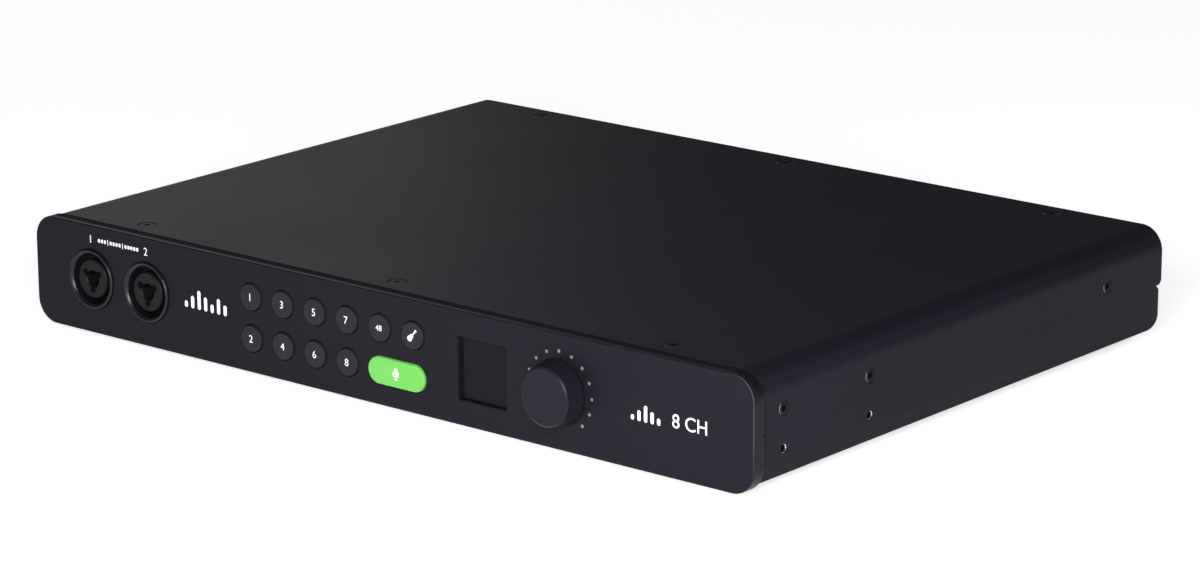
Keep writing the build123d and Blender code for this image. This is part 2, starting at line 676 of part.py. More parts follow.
def encoder_knob():
    """A solid turned aluminium knob, slightly tapered, hollow at the back, with a D bore."""
    front = facing_plane(-KNOB_PROUD) * disc(KNOB_X, MIDDLE_Z, KNOB_FRONT_RADIUS)
    back = facing_plane(-KNOB_CLEARANCE) * disc(KNOB_X, MIDDLE_Z, KNOB_BACK_RADIUS)
    knob = loft([front, back])
    rim = knob.faces().sort_by(Axis.Y)[0].outer_wire().edges()
    knob = chamfer(rim, KNOB_EDGE)
    knob -= rod(KNOB_X, MIDDLE_Z, KNOB_HOLLOW, -KNOB_CLEARANCE - KNOB_SKIRT, KNOB_SKIRT)
    bore_end = KNOB_PROUD - KNOB_FACE
    knob -= slab(shaft_outline(FIT_GAP / 4), -bore_end, bore_end)
    return knob


def encoder_shaft():
    """The steel shaft: a D section in the knob and round in the bushing."""
    shoulder = -KNOB_CLEARANCE
    flat_length = KNOB_PROUD - KNOB_FACE - KNOB_CLEARANCE - FIT_GAP
    shaft = slab(shaft_outline(0), shoulder - flat_length, flat_length)
    return shaft + rod(KNOB_X, MIDDLE_Z, SHAFT_RADIUS, shoulder, SWITCH_FRONT - shoulder)


def encoder_plunger():
    """The carriage behind the shaft that passes the knob's push to the encoder's switch."""
    return rod(KNOB_X, MIDDLE_Z, PLUNGER_RADIUS, SWITCH_FRONT + RUNNING_GAP, PLUNGER_LENGTH)


def encoder_body():
    """The encoder: a threaded bushing through the panel and a square body on the board."""
    start = PANEL_THICKNESS + 2 * FIT_GAP
    body = slab(block(KNOB_X, MIDDLE_Z, ENCODER_SIZE, ENCODER_SIZE), start, CONTROL_BOARD_DEPTH - start)
    body += rod(KNOB_X, MIDDLE_Z, BUSHING_RADIUS, 0, start)
    bore_length = SWITCH_FRONT + RUNNING_GAP + PLUNGER_LENGTH + PUSH_TRAVEL + 2 * FIT_GAP
    return body - rod(KNOB_X, MIDDLE_Z, SHAFT_RADIUS + RUNNING_GAP, 0, bore_length)


def encoder_nut():
    """The hexagonal nut that clamps the bushing, hidden under the knob."""
    outline = Pos(KNOB_X, MIDDLE_Z) * RegularPolygon(NUT_RADIUS, 6)
    outline -= disc(KNOB_X, MIDDLE_Z, BUSHING_RADIUS + THREAD_GAP)
    return slab(outline, NUT_RECESS - NUT_THICKNESS, NUT_THICKNESS)


def dial_light_pipes():
    length = CONTROL_BOARD_DEPTH - FIT_GAP
    return [rod(x, z, DOT_RADIUS, 0, length) for x, z in DOT_PLACES]


def board_spans():
    """The two boards on the floor of the case, each as (left, right)."""
    reach = INNER_HALF_WIDTH - MAIN_BOARD_SIDE
    gap = BOARD_SPLIT_GAP / 2
    return {"main": (-reach, SPLIT_X - gap), "power": (SPLIT_X + gap, reach)}


def board_screw_places(span):
    left, right = span
    xs = [left + BOARD_SCREW_INSET, right - BOARD_SCREW_INSET]
    depths = [MAIN_BOARD_FRONT + BOARD_SCREW_INSET, BOARD_REAR - BOARD_SCREW_REAR]
    return [(x, depth) for x in xs for depth in depths]


def all_board_screws():
    return [place for span in board_spans().values() for place in board_screw_places(span)]


POWER_X = sum(board_spans()["power"]) / 2


def upright(x, depth, z, radius, height):
    place = Pos(x, FRONT_Y + depth, BASE_Z + z)
    return place * Cylinder(radius, height, align=(Align.CENTER, Align.CENTER, Align.MIN))


def circuit_board(name):
    left, right = board_spans()[name]
    board = box(left, right, MAIN_BOARD_FRONT, BOARD_REAR, BOARD_Z, BOARD_TOP_Z)
    hole = SCREW_SHANK + THREAD_GAP
    places = board_screw_places((left, right))
    return board - [upright(x, depth, BOARD_Z, hole, BOARD_THICKNESS) for x, depth in places]


def board_standoffs():
    """Round pillars pressed into the tray's floor, tapped for the board screws."""
    hole = SCREW_SHANK + THREAD_GAP
    return [
        upright(x, depth, FLOOR_Z, STANDOFF_RADIUS, STANDOFF_HEIGHT)
        - upright(x, depth, FLOOR_Z + FIT_GAP, hole, STANDOFF_HEIGHT)
        for x, depth in all_board_screws()
    ]


def board_screws():
    screws = []
    for x, depth in all_board_screws():
        screw = upright(x, depth, BOARD_TOP_Z - BOARD_SCREW_LENGTH, SCREW_SHANK, BOARD_SCREW_LENGTH)
        screw += upright(x, depth, BOARD_TOP_Z, SCREW_HEAD, SCREW_HEAD_HEIGHT)
        top = BOARD_TOP_Z + SCREW_HEAD_HEIGHT
        drive = Pos(x, FRONT_Y + depth, BASE_Z + top) * socket_drive(DRIVE_RADIUS, DRIVE_DEPTH)
        screws.append(screw - drive)
    return screws


def main_board_chips():
    """A processor, three converters and a row of preamplifier stages on the main board."""
    middle = sum(board_spans()["main"]) / 2
    row = MAIN_BOARD_FRONT + CHIP_ROW
    chips = [
        on_board(x, row, PREAMP_CHIP, PREAMP_CHIP, 0, CHIP_HEIGHT)
        for x in spread(8, 2 * PREAMP_CHIP, middle)
    ]
    row += 2 * PROCESSOR_CHIP
    sizes = [CONVERTER_CHIP, CONVERTER_CHIP, PROCESSOR_CHIP, CONVERTER_CHIP]
    places = spread(len(sizes), 2 * PROCESSOR_CHIP, middle)
    chips += [on_board(x, row, size, size, 0, CHIP_HEIGHT) for x, size in zip(places, sizes)]
    return chips


def on_board(x, depth, width, length, low, high):
    """A block standing over a board, centred on x and depth."""
    x_low, x_high = x - width / 2, x + width / 2
    depth_low, depth_high = depth - length / 2, depth + length / 2
    return box(x_low, x_high, depth_low, depth_high, BOARD_TOP_Z + low, BOARD_TOP_Z + high)


def power_transformer():
    """The wound core of the supply on its bobbin."""
    depth = MAIN_BOARD_FRONT + TRANSFORMER_BACK
    core = on_board(POWER_X, depth, CORE_SIZE, CORE_SIZE, 0, CORE_HEIGHT)
    height = CORE_HEIGHT - WINDING_STEP
    size = CORE_SIZE + 2 * WINDING_PROUD
    winding = on_board(POWER_X, depth, CORE_SIZE - 2 * WINDING_PROUD, size, WINDING_STEP, height)
    return core + winding


def power_capacitors():
    """Three cans in front of the transformer and a larger one behind it."""
    row = MAIN_BOARD_FRONT + CAPACITOR_BACK
    cans = [
        upright(x, row, BOARD_TOP_Z, CAPACITOR_RADIUS, CAPACITOR_HEIGHT)
        for x in spread(3, 3 * CAPACITOR_RADIUS, POWER_X)
    ]
    rear = MAIN_BOARD_FRONT + TRANSFORMER_BACK + CORE_SIZE + 2 * RESERVOIR_RADIUS
    return cans + [upright(POWER_X, rear, BOARD_TOP_Z, RESERVOIR_RADIUS, RESERVOIR_HEIGHT)]


def power_heatsink():
    """An extruded heatsink with upright fins on its inner side."""
    x = board_spans()["power"][1] - HEATSINK_PLATE
    depth = MAIN_BOARD_FRONT + TRANSFORMER_BACK
    length = (HEATSINK_FINS - 1) * HEATSINK_PITCH + HEATSINK_FIN
    sink = on_board(x, depth, HEATSINK_PLATE, length, 0, CORE_HEIGHT)
    fin_x = x - (HEATSINK_PLATE + HEATSINK_REACH) / 2
    for place in spread(HEATSINK_FINS, HEATSINK_PITCH, depth):
        sink += on_board(fin_x, place, HEATSINK_REACH, HEATSINK_FIN, 0, CORE_HEIGHT)
    return sink


def ribbon_cable():
    """The flat cable from the control board down to the main board."""
    start = CONTROL_BOARD_DEPTH + BOARD_THICKNESS
    cable_z = BOARD_TOP_Z + RIBBON_THICKNESS / 2
    fall = start + RIBBON_LEAD
    points = [(start, MIDDLE_Z), (fall, MIDDLE_Z), (fall + RIBBON_FALL, cable_z)]
    points.append((MAIN_BOARD_FRONT + RIBBON_TAIL, cable_z))
    side = Plane(origin=(0, FRONT_Y, BASE_Z), x_dir=(0, 1, 0), z_dir=(1, 0, 0))
    strip = trace(FilletPolyline(*points, radius=RIBBON_BEND), line_width=RIBBON_THICKNESS)
    return extrude(side * strip, amount=RIBBON_WIDTH / 2, both=True)


def rear_panel():
    """The flat steel plate at the back, cut for every socket."""
    plate = slab(case_outline(SHELL_WALL + FIT_GAP), REAR_PANEL_FRONT, REAR_PANEL_THICKNESS)
    cuts = [disc(x, MIDDLE_Z, JACK_RADIUS + FIT_GAP) for x in REAR_JACKS]
    cuts += [disc(x, z, OUTPUT_BARREL + FIT_GAP) for x, z in OUTPUT_PLACES]
    for x, z in OPTICAL_PLACES:
        nose_width = OPTICAL_WIDTH - 2 * OPTICAL_SHOULDER
        nose_height = OPTICAL_HEIGHT - 2 * OPTICAL_SHOULDER
        cuts.append(block(x, z, nose_width, nose_height))
    cuts += [disc(x, z, CLOCK_THREAD + FIT_GAP) for x, z in CLOCK_PLACES]
    cuts.append(block(ROCKER_X, MIDDLE_Z, ROCKER_WIDTH + 2 * FIT_GAP, ROCKER_HEIGHT + 2 * FIT_GAP))
    cuts.append(inlet_opening())
    cuts += [disc(x, z, SCREW_SHANK + THREAD_GAP) for x, z in BRACKET_SCREW_PLACES]
    return plate - [slab(cut, REAR_PANEL_FRONT, REAR_PANEL_THICKNESS) for cut in cuts]


def line_output_jack(x, z):
    """A round-nosed output socket: threaded barrel, square body and the plug's bore."""
    start = REAR_PANEL_FRONT - FIT_GAP - OUTPUT_BODY_LENGTH
    jack = slab(block(x, z, OUTPUT_BODY_WIDTH, OUTPUT_BODY_HEIGHT), start, OUTPUT_BODY_LENGTH)
    barrel_length = FIT_GAP + REAR_PANEL_THICKNESS + REAR_PANEL_RECESS
    jack += rod(x, z, OUTPUT_BARREL, REAR_PANEL_FRONT - FIT_GAP, barrel_length)
    bore_start = start + OUTPUT_END
    return jack - rod(x, z, OUTPUT_BORE, bore_start, CASE_DEPTH - bore_start)


def line_output_nut(x, z):
    outline = Pos(x, z) * RegularPolygon(OUTPUT_NUT, 6) - disc(x, z, OUTPUT_BARREL + THREAD_GAP)
    return slab(outline, REAR_FACE, REAR_PANEL_RECESS - 2 * FIT_GAP)


def optical_port(x, z):
    """A square-mouthed optical socket that stands just through the rear panel."""
    start = REAR_PANEL_FRONT - FIT_GAP - OPTICAL_LENGTH
    port = slab(block(x, z, OPTICAL_WIDTH, OPTICAL_HEIGHT), start, OPTICAL_LENGTH)
    inset = 2 * (OPTICAL_SHOULDER + FIT_GAP)
    nose = block(x, z, OPTICAL_WIDTH - inset, OPTICAL_HEIGHT - inset)
    nose_length = FIT_GAP + REAR_PANEL_THICKNESS + SOCKET_PROUD
    port += slab(nose, REAR_PANEL_FRONT - FIT_GAP, nose_length)
    mouth = rounded(x, z, OPTICAL_MOUTH, OPTICAL_MOUTH, OPTICAL_CORNER)
    mouth_start = REAR_FACE + SOCKET_PROUD - OPTICAL_MOUTH_DEPTH
    return port - slab(mouth, mouth_start, OPTICAL_MOUTH_DEPTH)


def clock_socket(x, z):
    """A bayonet coaxial socket: threaded base, thin tube with two lugs and a centre pin."""
    start = REAR_PANEL_FRONT - FIT_GAP - CLOCK_BODY_LENGTH
    socket = slab(block(x, z, CLOCK_BODY, CLOCK_BODY), start, CLOCK_BODY_LENGTH)
    tube_start = REAR_FACE + SOCKET_PROUD
    base_start = REAR_PANEL_FRONT - FIT_GAP
    socket += rod(x, z, CLOCK_THREAD, base_start, tube_start - base_start)
    socket += rod(x, z, CLOCK_RADIUS, tube_start, REAR_REACH - tube_start)
    lugs = block(x, z, 2 * (CLOCK_RADIUS + CLOCK_LUG), 2 * CLOCK_LUG)
    socket += slab(lugs, REAR_REACH - CLOCK_LUG_BACK, 2 * CLOCK_LUG)
    socket -= rod(x, z, CLOCK_RADIUS - CLOCK_WALL, tube_start, REAR_REACH - tube_start)
    pin_length = REAR_REACH - tube_start - CLOCK_PIN_RECESS
    return socket + rod(x, z, CLOCK_PIN, tube_start, pin_length)


def switch_housing():
    """The power switch's frame and body, hollow for the rocker."""
    frame_width = ROCKER_WIDTH + 2 * ROCKER_FRAME
    frame_height = ROCKER_HEIGHT + 2 * ROCKER_FRAME
    housing = slab(block(ROCKER_X, MIDDLE_Z, frame_width, frame_height), REAR_FACE, ROCKER_PROUD)
    start = REAR_FACE - ROCKER_BODY_LENGTH
    housing += slab(block(ROCKER_X, MIDDLE_Z, ROCKER_WIDTH, ROCKER_HEIGHT), start, ROCKER_BODY_LENGTH)
    hollow_width = ROCKER_WIDTH - 2 * ROCKER_SHELL
    hollow = block(ROCKER_X, MIDDLE_Z, hollow_width, ROCKER_HEIGHT - 2 * ROCKER_SHELL)
    depth = ROCKER_BODY_LENGTH - ROCKER_SHELL
    housing -= slab(hollow, start + ROCKER_SHELL, depth + ROCKER_PROUD)
    for side in (-1, 1):
        pivot_x = ROCKER_X + side * hollow_width / 2
        pivot = Pos(pivot_x, FRONT_Y + ROCKER_AXIS, BASE_Z + MIDDLE_Z)
        housing += pivot * Rot(0, 90, 0) * Cylinder(ROCKER_PIN, 2 * ROCKER_PIN_LENGTH)
    return housing


def power_rocker():
    """The rocker, standing in its off position, with sockets for the housing's pivot pins."""
    width = ROCKER_WIDTH - 2 * ROCKER_SHELL - 2 * ROCKER_GAP
    radius = ROCKER_HEIGHT / 2 - ROCKER_SHELL - ROCKER_GAP
    pivot = (ROCKER_X, FRONT_Y + ROCKER_AXIS, BASE_Z + MIDDLE_Z)
    side = Plane(origin=pivot, x_dir=(0, 1, 0), z_dir=(1, 0, 0))
    reach = REAR_FACE + ROCKER_PROUD - ROCKER_AXIS
    lip = radius * math.cos(math.radians(ROCKER_TILT))
    section = Circle(radius) & (Pos(reach / 2, 0) * Rectangle(reach, 2 * lip))
    section += Circle(ROCKER_BOSS)
    section -= Pos(reach + ROCKER_DISH, 0) * Circle(ROCKER_DISH)
    section -= Circle(ROCKER_PIN + RUNNING_GAP)
    return extrude(side * Rot(0, 0, -ROCKER_TILT) * section, amount=width / 2, both=True)


def mains_inlet():
    """The three-pin mains inlet: a flange outside, a hollow body and its blades' base."""
    rim_width = INLET_WIDTH + 2 * INLET_RIM
    rim_height = INLET_HEIGHT + 2 * INLET_RIM
    rim = rounded(INLET_X, MIDDLE_Z, rim_width, rim_height, INLET_CORNER)
    inlet = slab(rim, REAR_FACE, ROCKER_PROUD)
    start = REAR_FACE - INLET_LENGTH
    body = rounded(INLET_X, MIDDLE_Z, INLET_WIDTH, INLET_HEIGHT, INLET_CORNER)
    inlet += slab(body, start, INLET_LENGTH)
    mouth = rounded(
        INLET_X,
        MIDDLE_Z,
        INLET_WIDTH - 2 * INLET_WALL,
        INLET_HEIGHT - 2 * INLET_WALL,
        INLET_CORNER - INLET_WALL,
    )
    mouth_end = REAR_FACE + ROCKER_PROUD
    return inlet - slab(mouth, mouth_end - INLET_MOUTH_DEPTH, INLET_MOUTH_DEPTH)


def mains_inlet_pins():
    """Three flat blades standing in the inlet, the earth blade above the other two."""
    start = REAR_FACE + ROCKER_PROUD - INLET_MOUTH_DEPTH
    places = [(side * INLET_PIN_PITCH, -INLET_LINE_DROP) for side in (-1, 1)]
    places.append((0, INLET_EARTH_RISE))
    blades = []
    for x, z in places:
        blade = block(INLET_X + x, MIDDLE_Z + z, INLET_BLADE_WIDTH, INLET_BLADE_HEIGHT)
        blades.append(slab(blade, start, INLET_PIN_LENGTH))
    return blades


def rubber_feet():
    """Four round stick-on feet under the tray."""
    reach_x = SHELL_WIDTH / 2 - FOOT_INSET
    depths = (TRAY_FRONT + FOOT_INSET, TRAY_REAR - FOOT_INSET)
    feet = []
    for x in (-reach_x, reach_x):
        for depth in depths:
            foot = upright(x, depth, SHELL_DROP - FOOT_HEIGHT, FOOT_RADIUS, FOOT_HEIGHT)
            ground = foot.faces().sort_by(Axis.Z)[0].outer_wire().edges()
            feet.append(chamfer(ground, FOOT_HEIGHT / 4))
    return feet


os.makedirs("parts", exist_ok=True)

save("front_panel", front_panel())
save("top_cover", top_cover())
save("bottom_tray", bottom_tray())
save("rear_panel", rear_panel())
save("front_bracket", bracket(FRONT_BRACKET, FRONT_BRACKET + PLATE_THICKNESS))
save("rear_bracket", rear_bracket())
save("left_side_rail", side_rail(-1))
save("right_side_rail", side_rail(1))

rear_nose = REAR_FACE + JACK_PROUD
rear_panel_back = REAR_PANEL_FRONT - FIT_GAP
save(
    "front_jack_housings",
    [jack_housing(x, -JACK_PROUD, PANEL_THICKNESS + FIT_GAP, 1) for x in FRONT_JACKS],
)
save("front_jack_inserts", [jack_insert(x, -JACK_PROUD, 1) for x in FRONT_JACKS])
save("rear_jack_housings", [jack_housing(x, rear_nose, rear_panel_back, -1) for x in REAR_JACKS])
save("rear_jack_inserts", [jack_insert(x, rear_nose, -1) for x in REAR_JACKS])
save("front_jack_board", front_jack_board())

for number, place in enumerate(CHANNEL_PLACES, start=1):
    save(f"channel_button_{number}", round_button(place))
save("phantom_button", round_button(PHANTOM_PLACE))
save("instrument_button", round_button(INSTRUMENT_PLACE))
save("auto_gain_button", pill_button())
save("button_switches", button_switches())
save("control_board", control_board())
save("display_window", display_window())
save("display_module", display_module())

save("encoder_knob", encoder_knob())
save("encoder_shaft", encoder_shaft())
save("encoder_plunger", encoder_plunger())
save("encoder_body", encoder_body())
save("encoder_nut", encoder_nut())
save("dial_light_pipes", dial_light_pipes())

save("main_board", circuit_board("main"))
save("power_board", circuit_board("power"))
save("board_standoffs", board_standoffs())
save("main_board_chips", main_board_chips())
save("power_transformer", power_transformer())
save("power_capacitors", power_capacitors())
save("power_heatsink", power_heatsink())
save("ribbon_cable", ribbon_cable())

save("line_output_jacks", [line_output_jack(x, z) for x, z in OUTPUT_PLACES])
save("line_output_nuts", [line_output_nut(x, z) for x, z in OUTPUT_PLACES])
save("optical_ports", [optical_port(x, z) for x, z in OPTICAL_PLACES])
save("clock_sockets", [clock_socket(x, z) for x, z in CLOCK_PLACES])
save("switch_housing", switch_housing())
save("power_rocker", power_rocker())
save("mains_inlet", mains_inlet())
save("mains_inlet_pins", mains_inlet_pins())

save("top_screws", [cover_screw(x, depth, 0) for x, depth in COVER_SCREW_PLACES])
save(
    "side_screws",
    [side_screw(side, depth, 0) for side in (-1, 1) for depth in SIDE_SCREW_DEPTHS],
)
save("panel_screws", panel_screws())
save("board_screws", board_screws())
save("rubber_feet", rubber_feet())
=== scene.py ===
import json
import math

import bmesh
import bpy
from mathutils import Matrix, Vector


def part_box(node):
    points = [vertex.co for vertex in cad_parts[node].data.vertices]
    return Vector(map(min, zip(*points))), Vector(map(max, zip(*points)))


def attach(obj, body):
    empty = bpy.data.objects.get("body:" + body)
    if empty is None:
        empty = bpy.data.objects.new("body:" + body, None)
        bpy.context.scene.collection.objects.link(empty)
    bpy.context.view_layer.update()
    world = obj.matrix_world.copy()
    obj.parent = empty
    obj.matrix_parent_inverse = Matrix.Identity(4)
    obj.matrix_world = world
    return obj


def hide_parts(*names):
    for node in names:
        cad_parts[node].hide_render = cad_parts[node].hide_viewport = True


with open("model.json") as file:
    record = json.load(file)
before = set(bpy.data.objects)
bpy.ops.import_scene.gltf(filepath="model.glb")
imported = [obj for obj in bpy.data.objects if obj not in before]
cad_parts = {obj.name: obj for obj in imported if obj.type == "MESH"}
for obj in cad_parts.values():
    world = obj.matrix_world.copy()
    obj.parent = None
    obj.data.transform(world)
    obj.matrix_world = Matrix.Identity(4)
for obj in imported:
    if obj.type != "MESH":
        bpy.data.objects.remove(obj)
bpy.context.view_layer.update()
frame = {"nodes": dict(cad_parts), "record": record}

MM = 0.001


# ---------------------------------------------------------------------------
# Bottom tray: the lower half of the case, a folded and anodised aluminium shell with
# large rounded corners. Tapped holes in its sides take rack ears.
# ---------------------------------------------------------------------------

class Link:
    """The output of a shader node, which sums and products of links are built from."""

    def __init__(self, recipe, socket):
        self.recipe = recipe
        self.socket = socket

    def combine(self, operation, first, second):
        return self.recipe.node("ShaderNodeMath", {"operation": operation}, {0: first, 1: second})

    def __add__(self, other):
        return self.combine("ADD", self, other)

    __radd__ = __add__

    def __sub__(self, other):
        return self.combine("SUBTRACT", self, other)

    def __rsub__(self, other):
        return self.combine("SUBTRACT", other, self)

    def __mul__(self, other):
        return self.combine("MULTIPLY", self, other)

    __rmul__ = __mul__

    def power(self, exponent):
        return self.combine("POWER", self, exponent)


class Recipe:
    """One finish: a material whose nodes are added by calls and end in one shader."""

    def __init__(self, name, **constants):
        self.material = bpy.data.materials.new(name)
        self.material.use_nodes = True
        self.tree = self.material.node_tree
        self.shader = self.tree.nodes["Principled BSDF"]
        for socket, value in constants.items():
            self.shader.inputs[socket.replace("_", " ")].default_value = value
        self.place = self.node("ShaderNodeTexCoord", {}, {}, "Object")

    def node(self, kind, settings, inputs, output=0):
        made = self.tree.nodes.new(kind)
        for setting, value in settings.items():
            setattr(made, setting, value)
        for name, value in inputs.items():
            if isinstance(value, Link):
                self.tree.links.new(value.socket, made.inputs[name])
            else:
                made.inputs[name].default_value = value
        return Link(self, made.outputs[output])

    def noise(self, size, detail=2.0, stretch=(1, 1, 1)):
        """Cloudy values from 0 to 1 whose lumps are about size across, in metres."""
        vector = self.node("ShaderNodeMapping", {}, {"Vector": self.place, "Scale": stretch})
        inputs = {"Vector": vector, "Scale": 1 / size, "Detail": detail}
        return self.node("ShaderNodeTexNoise", {}, inputs)

    def band(self, value, low, high):
        """Rises from 0 to 1 as value goes from low to high."""
        return self.node("ShaderNodeMapRange", {}, {"Value": value, "From Min": low, "From Max": high})

    def along(self, axis):
        """How far a point of the surface lies along X, Y or Z."""
        return self.node("ShaderNodeSeparateXYZ", {}, {0: self.place}, "XYZ".index(axis))

    def within(self, spans):
        """1 inside all spans, each (axis, start, full). Left and right count alike along X."""
        share = None
        for axis, start, full in spans:
            reach = self.along(axis)
            if axis == "X":
                reach = reach.combine("ABSOLUTE", reach, 0)
            inside = self.band(reach, start, full)
            share = inside if share is None else share * inside
        return share

    def mix(self, share, first, second):
        colours = {0: share, 6: (*first, 1) if isinstance(first, tuple) else first}
        colours[7] = (*second, 1) if isinstance(second, tuple) else second
        return self.node("ShaderNodeMix", {"data_type": "RGBA"}, colours, 2)

    def bump(self, height, depth):
        return self.node("ShaderNodeBump", {}, {"Height": height, "Distance": depth, "Strength": 1.0})

    def feed(self, **links):
        """Joins links to the shader's sockets and hands the material over."""
        for socket, link in links.items():
            self.tree.links.new(link.socket, self.shader.inputs[socket.replace("_", " ")])
        return self.material


def grained_black(name, shade, tint, roughness, grain, depth, specular, painted_shade=(), painted_highlight=()):
    """A black finish with a fine even grain, faint cloudiness and a few specks of dust.

    Within all the spans given for shade the surface is rougher and painted darker, a painted shade, and
    within all the spans given for highlight it is smoother and painted brighter, a painted highlight.
    """
    recipe = Recipe(name, Specular_IOR_Level=specular, Specular_Tint=(0.88, 0.85, 1, 1))
    cloud = recipe.noise(60 * MM, 3)
    grit = recipe.noise(grain, 2)
    dust = recipe.band(recipe.noise(0.9 * MM, 1), 0.79, 0.83)
    dark = tuple(shade * part for part in tint)
    light = tuple(1.35 * shade * part for part in tint)
    colour = recipe.mix(recipe.band(grit, 0.3, 0.7), dark, light)
    colour = recipe.mix(dust * 0.25, colour, (0.16, 0.16, 0.17))
    rough = roughness + (cloud - 0.5) * 0.06 + (grit - 0.5) * 0.1
    # Painted shade: within these spans the colour is mixed towards a darker grey, and the surface turns
    # rougher.
    if painted_shade:
        share = recipe.within(painted_shade)
        rough = rough + share * 0.4
        colour = recipe.mix(share * 0.65, colour, (0.3 * shade, 0.3 * shade, 0.36 * shade))
    # Painted highlight: within these spans the colour is mixed towards a lighter grey, and the surface
    # turns smoother.
    if painted_highlight:
        share = recipe.within(painted_highlight)
        rough = rough - share * 0.1
        colour = recipe.mix(share, colour, (0.055, 0.052, 0.065))
    return recipe.feed(
        Base_Color=colour,
        Roughness=rough,
        Normal=recipe.bump(grit, depth),
    )


MERGE = 0.002 * MM
SHARP = math.radians(38)
ARC_HANDLE = 0.5523


def place_piece(name, bm, body, slot, finish, *replaced):
    """Turns a finished bmesh into an object on a body that stands for its CAD nodes."""
    bmesh.ops.remove_doubles(bm, verts=bm.verts, dist=MERGE)
    bmesh.ops.recalc_face_normals(bm, faces=bm.faces)
    mesh = bpy.data.meshes.new(name)
    bm.to_mesh(mesh)
    bm.free()
    mesh.materials.append(finish)
    mesh.shade_smooth()
    mesh.set_sharp_from_angle(angle=SHARP)
    piece = bpy.data.objects.new(name, mesh)
    bpy.context.scene.collection.objects.link(piece)
    weighted = piece.modifiers.new("weighted", "WEIGHTED_NORMAL")
    weighted.keep_sharp = True
    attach(piece, body)
    if replaced:
        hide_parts(*replaced)
    return piece


def rounded_outline(curve, x, z, width, height, corner, turn=0.0):
    """Adds a closed rounded rectangle to a flat curve. Where its corners meet, it is round."""
    spline = curve.splines.new("BEZIER")
    spline.bezier_points.add(7)
    spline.use_cyclic_u = True
    points = iter(spline.bezier_points)
    spin = Matrix.Rotation(turn, 3, "Z")
    middle = Vector((x, z, 0))
    for quarter, (side, level) in enumerate(((1, 1), (-1, 1), (-1, -1), (1, -1))):
        heart = Vector((side * (width / 2 - corner), level * (height / 2 - corner), 0))
        for end in (0, 1):
            angle = (quarter + end) * math.pi / 2
            out = Vector((math.cos(angle), math.sin(angle), 0))
            along = Vector((-math.sin(angle), math.cos(angle), 0)) * corner * ARC_HANDLE
            spot = heart + out * corner
            point = next(points)
            point.co = middle + spin @ spot
            point.handle_right = middle + spin @ (spot + (along if end == 0 else 0 * along))
            point.handle_left = middle + spin @ (spot - (along if end == 1 else 0 * along))


def drawn_outline(curve, points):
    """Adds a closed outline of straight steps to a flat curve."""
    spline = curve.splines.new("POLY")
    spline.points.add(len(points) - 1)
    spline.use_cyclic_u = True
    for spot, (x, z) in zip(spline.points, points):
        spot.co = (x, z, 0, 1)


def flat_curve(fineness=12):
    curve = bpy.data.curves.new("outline", "CURVE")
    curve.dimensions = "2D"
    curve.fill_mode = "BOTH"
    curve.resolution_u = fineness
    return curve


UPRIGHT = Matrix(((1, 0, 0, 0), (0, 0, -1, 0), (0, 1, 0, 0), (0, 0, 0, 1)))


def plate(curve, front, back, edge, rounding=2):
    """Fills a flat curve drawn as seen from the front and thickens it from front to back."""
    curve.extrude = (back - front) / 2 - edge
    curve.bevel_depth = edge
    curve.bevel_resolution = rounding
    curve.offset = -edge
    holder = bpy.data.objects.new("holder", curve)
    mesh = bpy.data.meshes.new_from_object(holder)
    bpy.data.objects.remove(holder)
    bm = bmesh.new()
    bm.from_mesh(mesh)
    bpy.data.meshes.remove(mesh)
    bmesh.ops.remove_doubles(bm, verts=bm.verts, dist=MERGE)
    place = Matrix.Translation((0, (front + back) / 2, 0)) @ UPRIGHT
    bmesh.ops.transform(bm, matrix=place, verts=bm.verts)
    return bm


def holder_of(bm):
    """A passing object that holds a bmesh while a modifier works on it."""
    mesh = bpy.data.meshes.new("holder")
    bmesh.ops.recalc_face_normals(bm, faces=bm.faces)
    bm.to_mesh(mesh)
    bm.free()
    holder = bpy.data.objects.new("holder", mesh)
    bpy.context.scene.collection.objects.link(holder)
    return holder


def carve(bm, cutter):
    """Takes the cutter's volume out of a solid."""
    solid, tool = holder_of(bm), holder_of(cutter)
    modifier = solid.modifiers.new("carve", "BOOLEAN")
    modifier.operation = "DIFFERENCE"
    modifier.solver = "EXACT"
    modifier.object = tool
    scene_state = bpy.context.evaluated_depsgraph_get()
    mesh = bpy.data.meshes.new_from_object(solid.evaluated_get(scene_state))
    result = bmesh.new()
    result.from_mesh(mesh)
    for passing in (solid, tool):
        bpy.data.objects.remove(passing)
    bpy.data.meshes.remove(mesh)
    return result


def turn_to(direction):
    """A turn that brings +Y to a direction."""
    return Vector((0, 1, 0)).rotation_difference(Vector(direction)).to_matrix().to_4x4()


def spun(bm, profile, centre, direction=(0, 1, 0), steps=64, closed=False):
    """Adds a turned shape. profile is (radius, distance along the axis, rounding) points."""
    place = Matrix.Translation(centre) @ turn_to(direction)
    points = [bm.verts.new((radius, along, 0)) for radius, along, _ in profile]
    lines = [bm.edges.new(pair) for pair in zip(points, points[1:])]
    if closed:
        lines.append(bm.edges.new((points[-1], points[0])))
    fresh = set(points)
    for point, (_, _, rounding) in zip(points, profile):
        if rounding:
            fresh.discard(point)
            made = bmesh.ops.bevel(
                bm,
                geom=[point],
                offset=rounding,
                segments=3,
                affect="VERTICES",
                profile=0.5,
                material=-1,
            )
            fresh.update(made["verts"])
    lines = {line for point in fresh for line in point.link_edges}
    bmesh.ops.transform(bm, matrix=place, verts=list(fresh))
    axis = place.to_3x3() @ Vector((0, 1, 0))
    bmesh.ops.spin(
        bm,
        geom=list(fresh) + list(lines),
        cent=Vector(centre),
        axis=axis,
        angle=2 * math.pi,
        steps=steps,
        use_merge=True,
    )
    bmesh.ops.remove_doubles(bm, verts=bm.verts, dist=MERGE)
    return bm


WALL = 2.0 * MM
SHELL_CORNER = 9.5 * MM
SHELL_EDGE = 0.3 * MM
NOTCH = 1.8 * MM
RACK_HOLE = 1.65 * MM
RACK_CHAMFER = 0.3 * MM
DRILL_DEPTH = 5 * MM
OVERCUT = 1 * MM

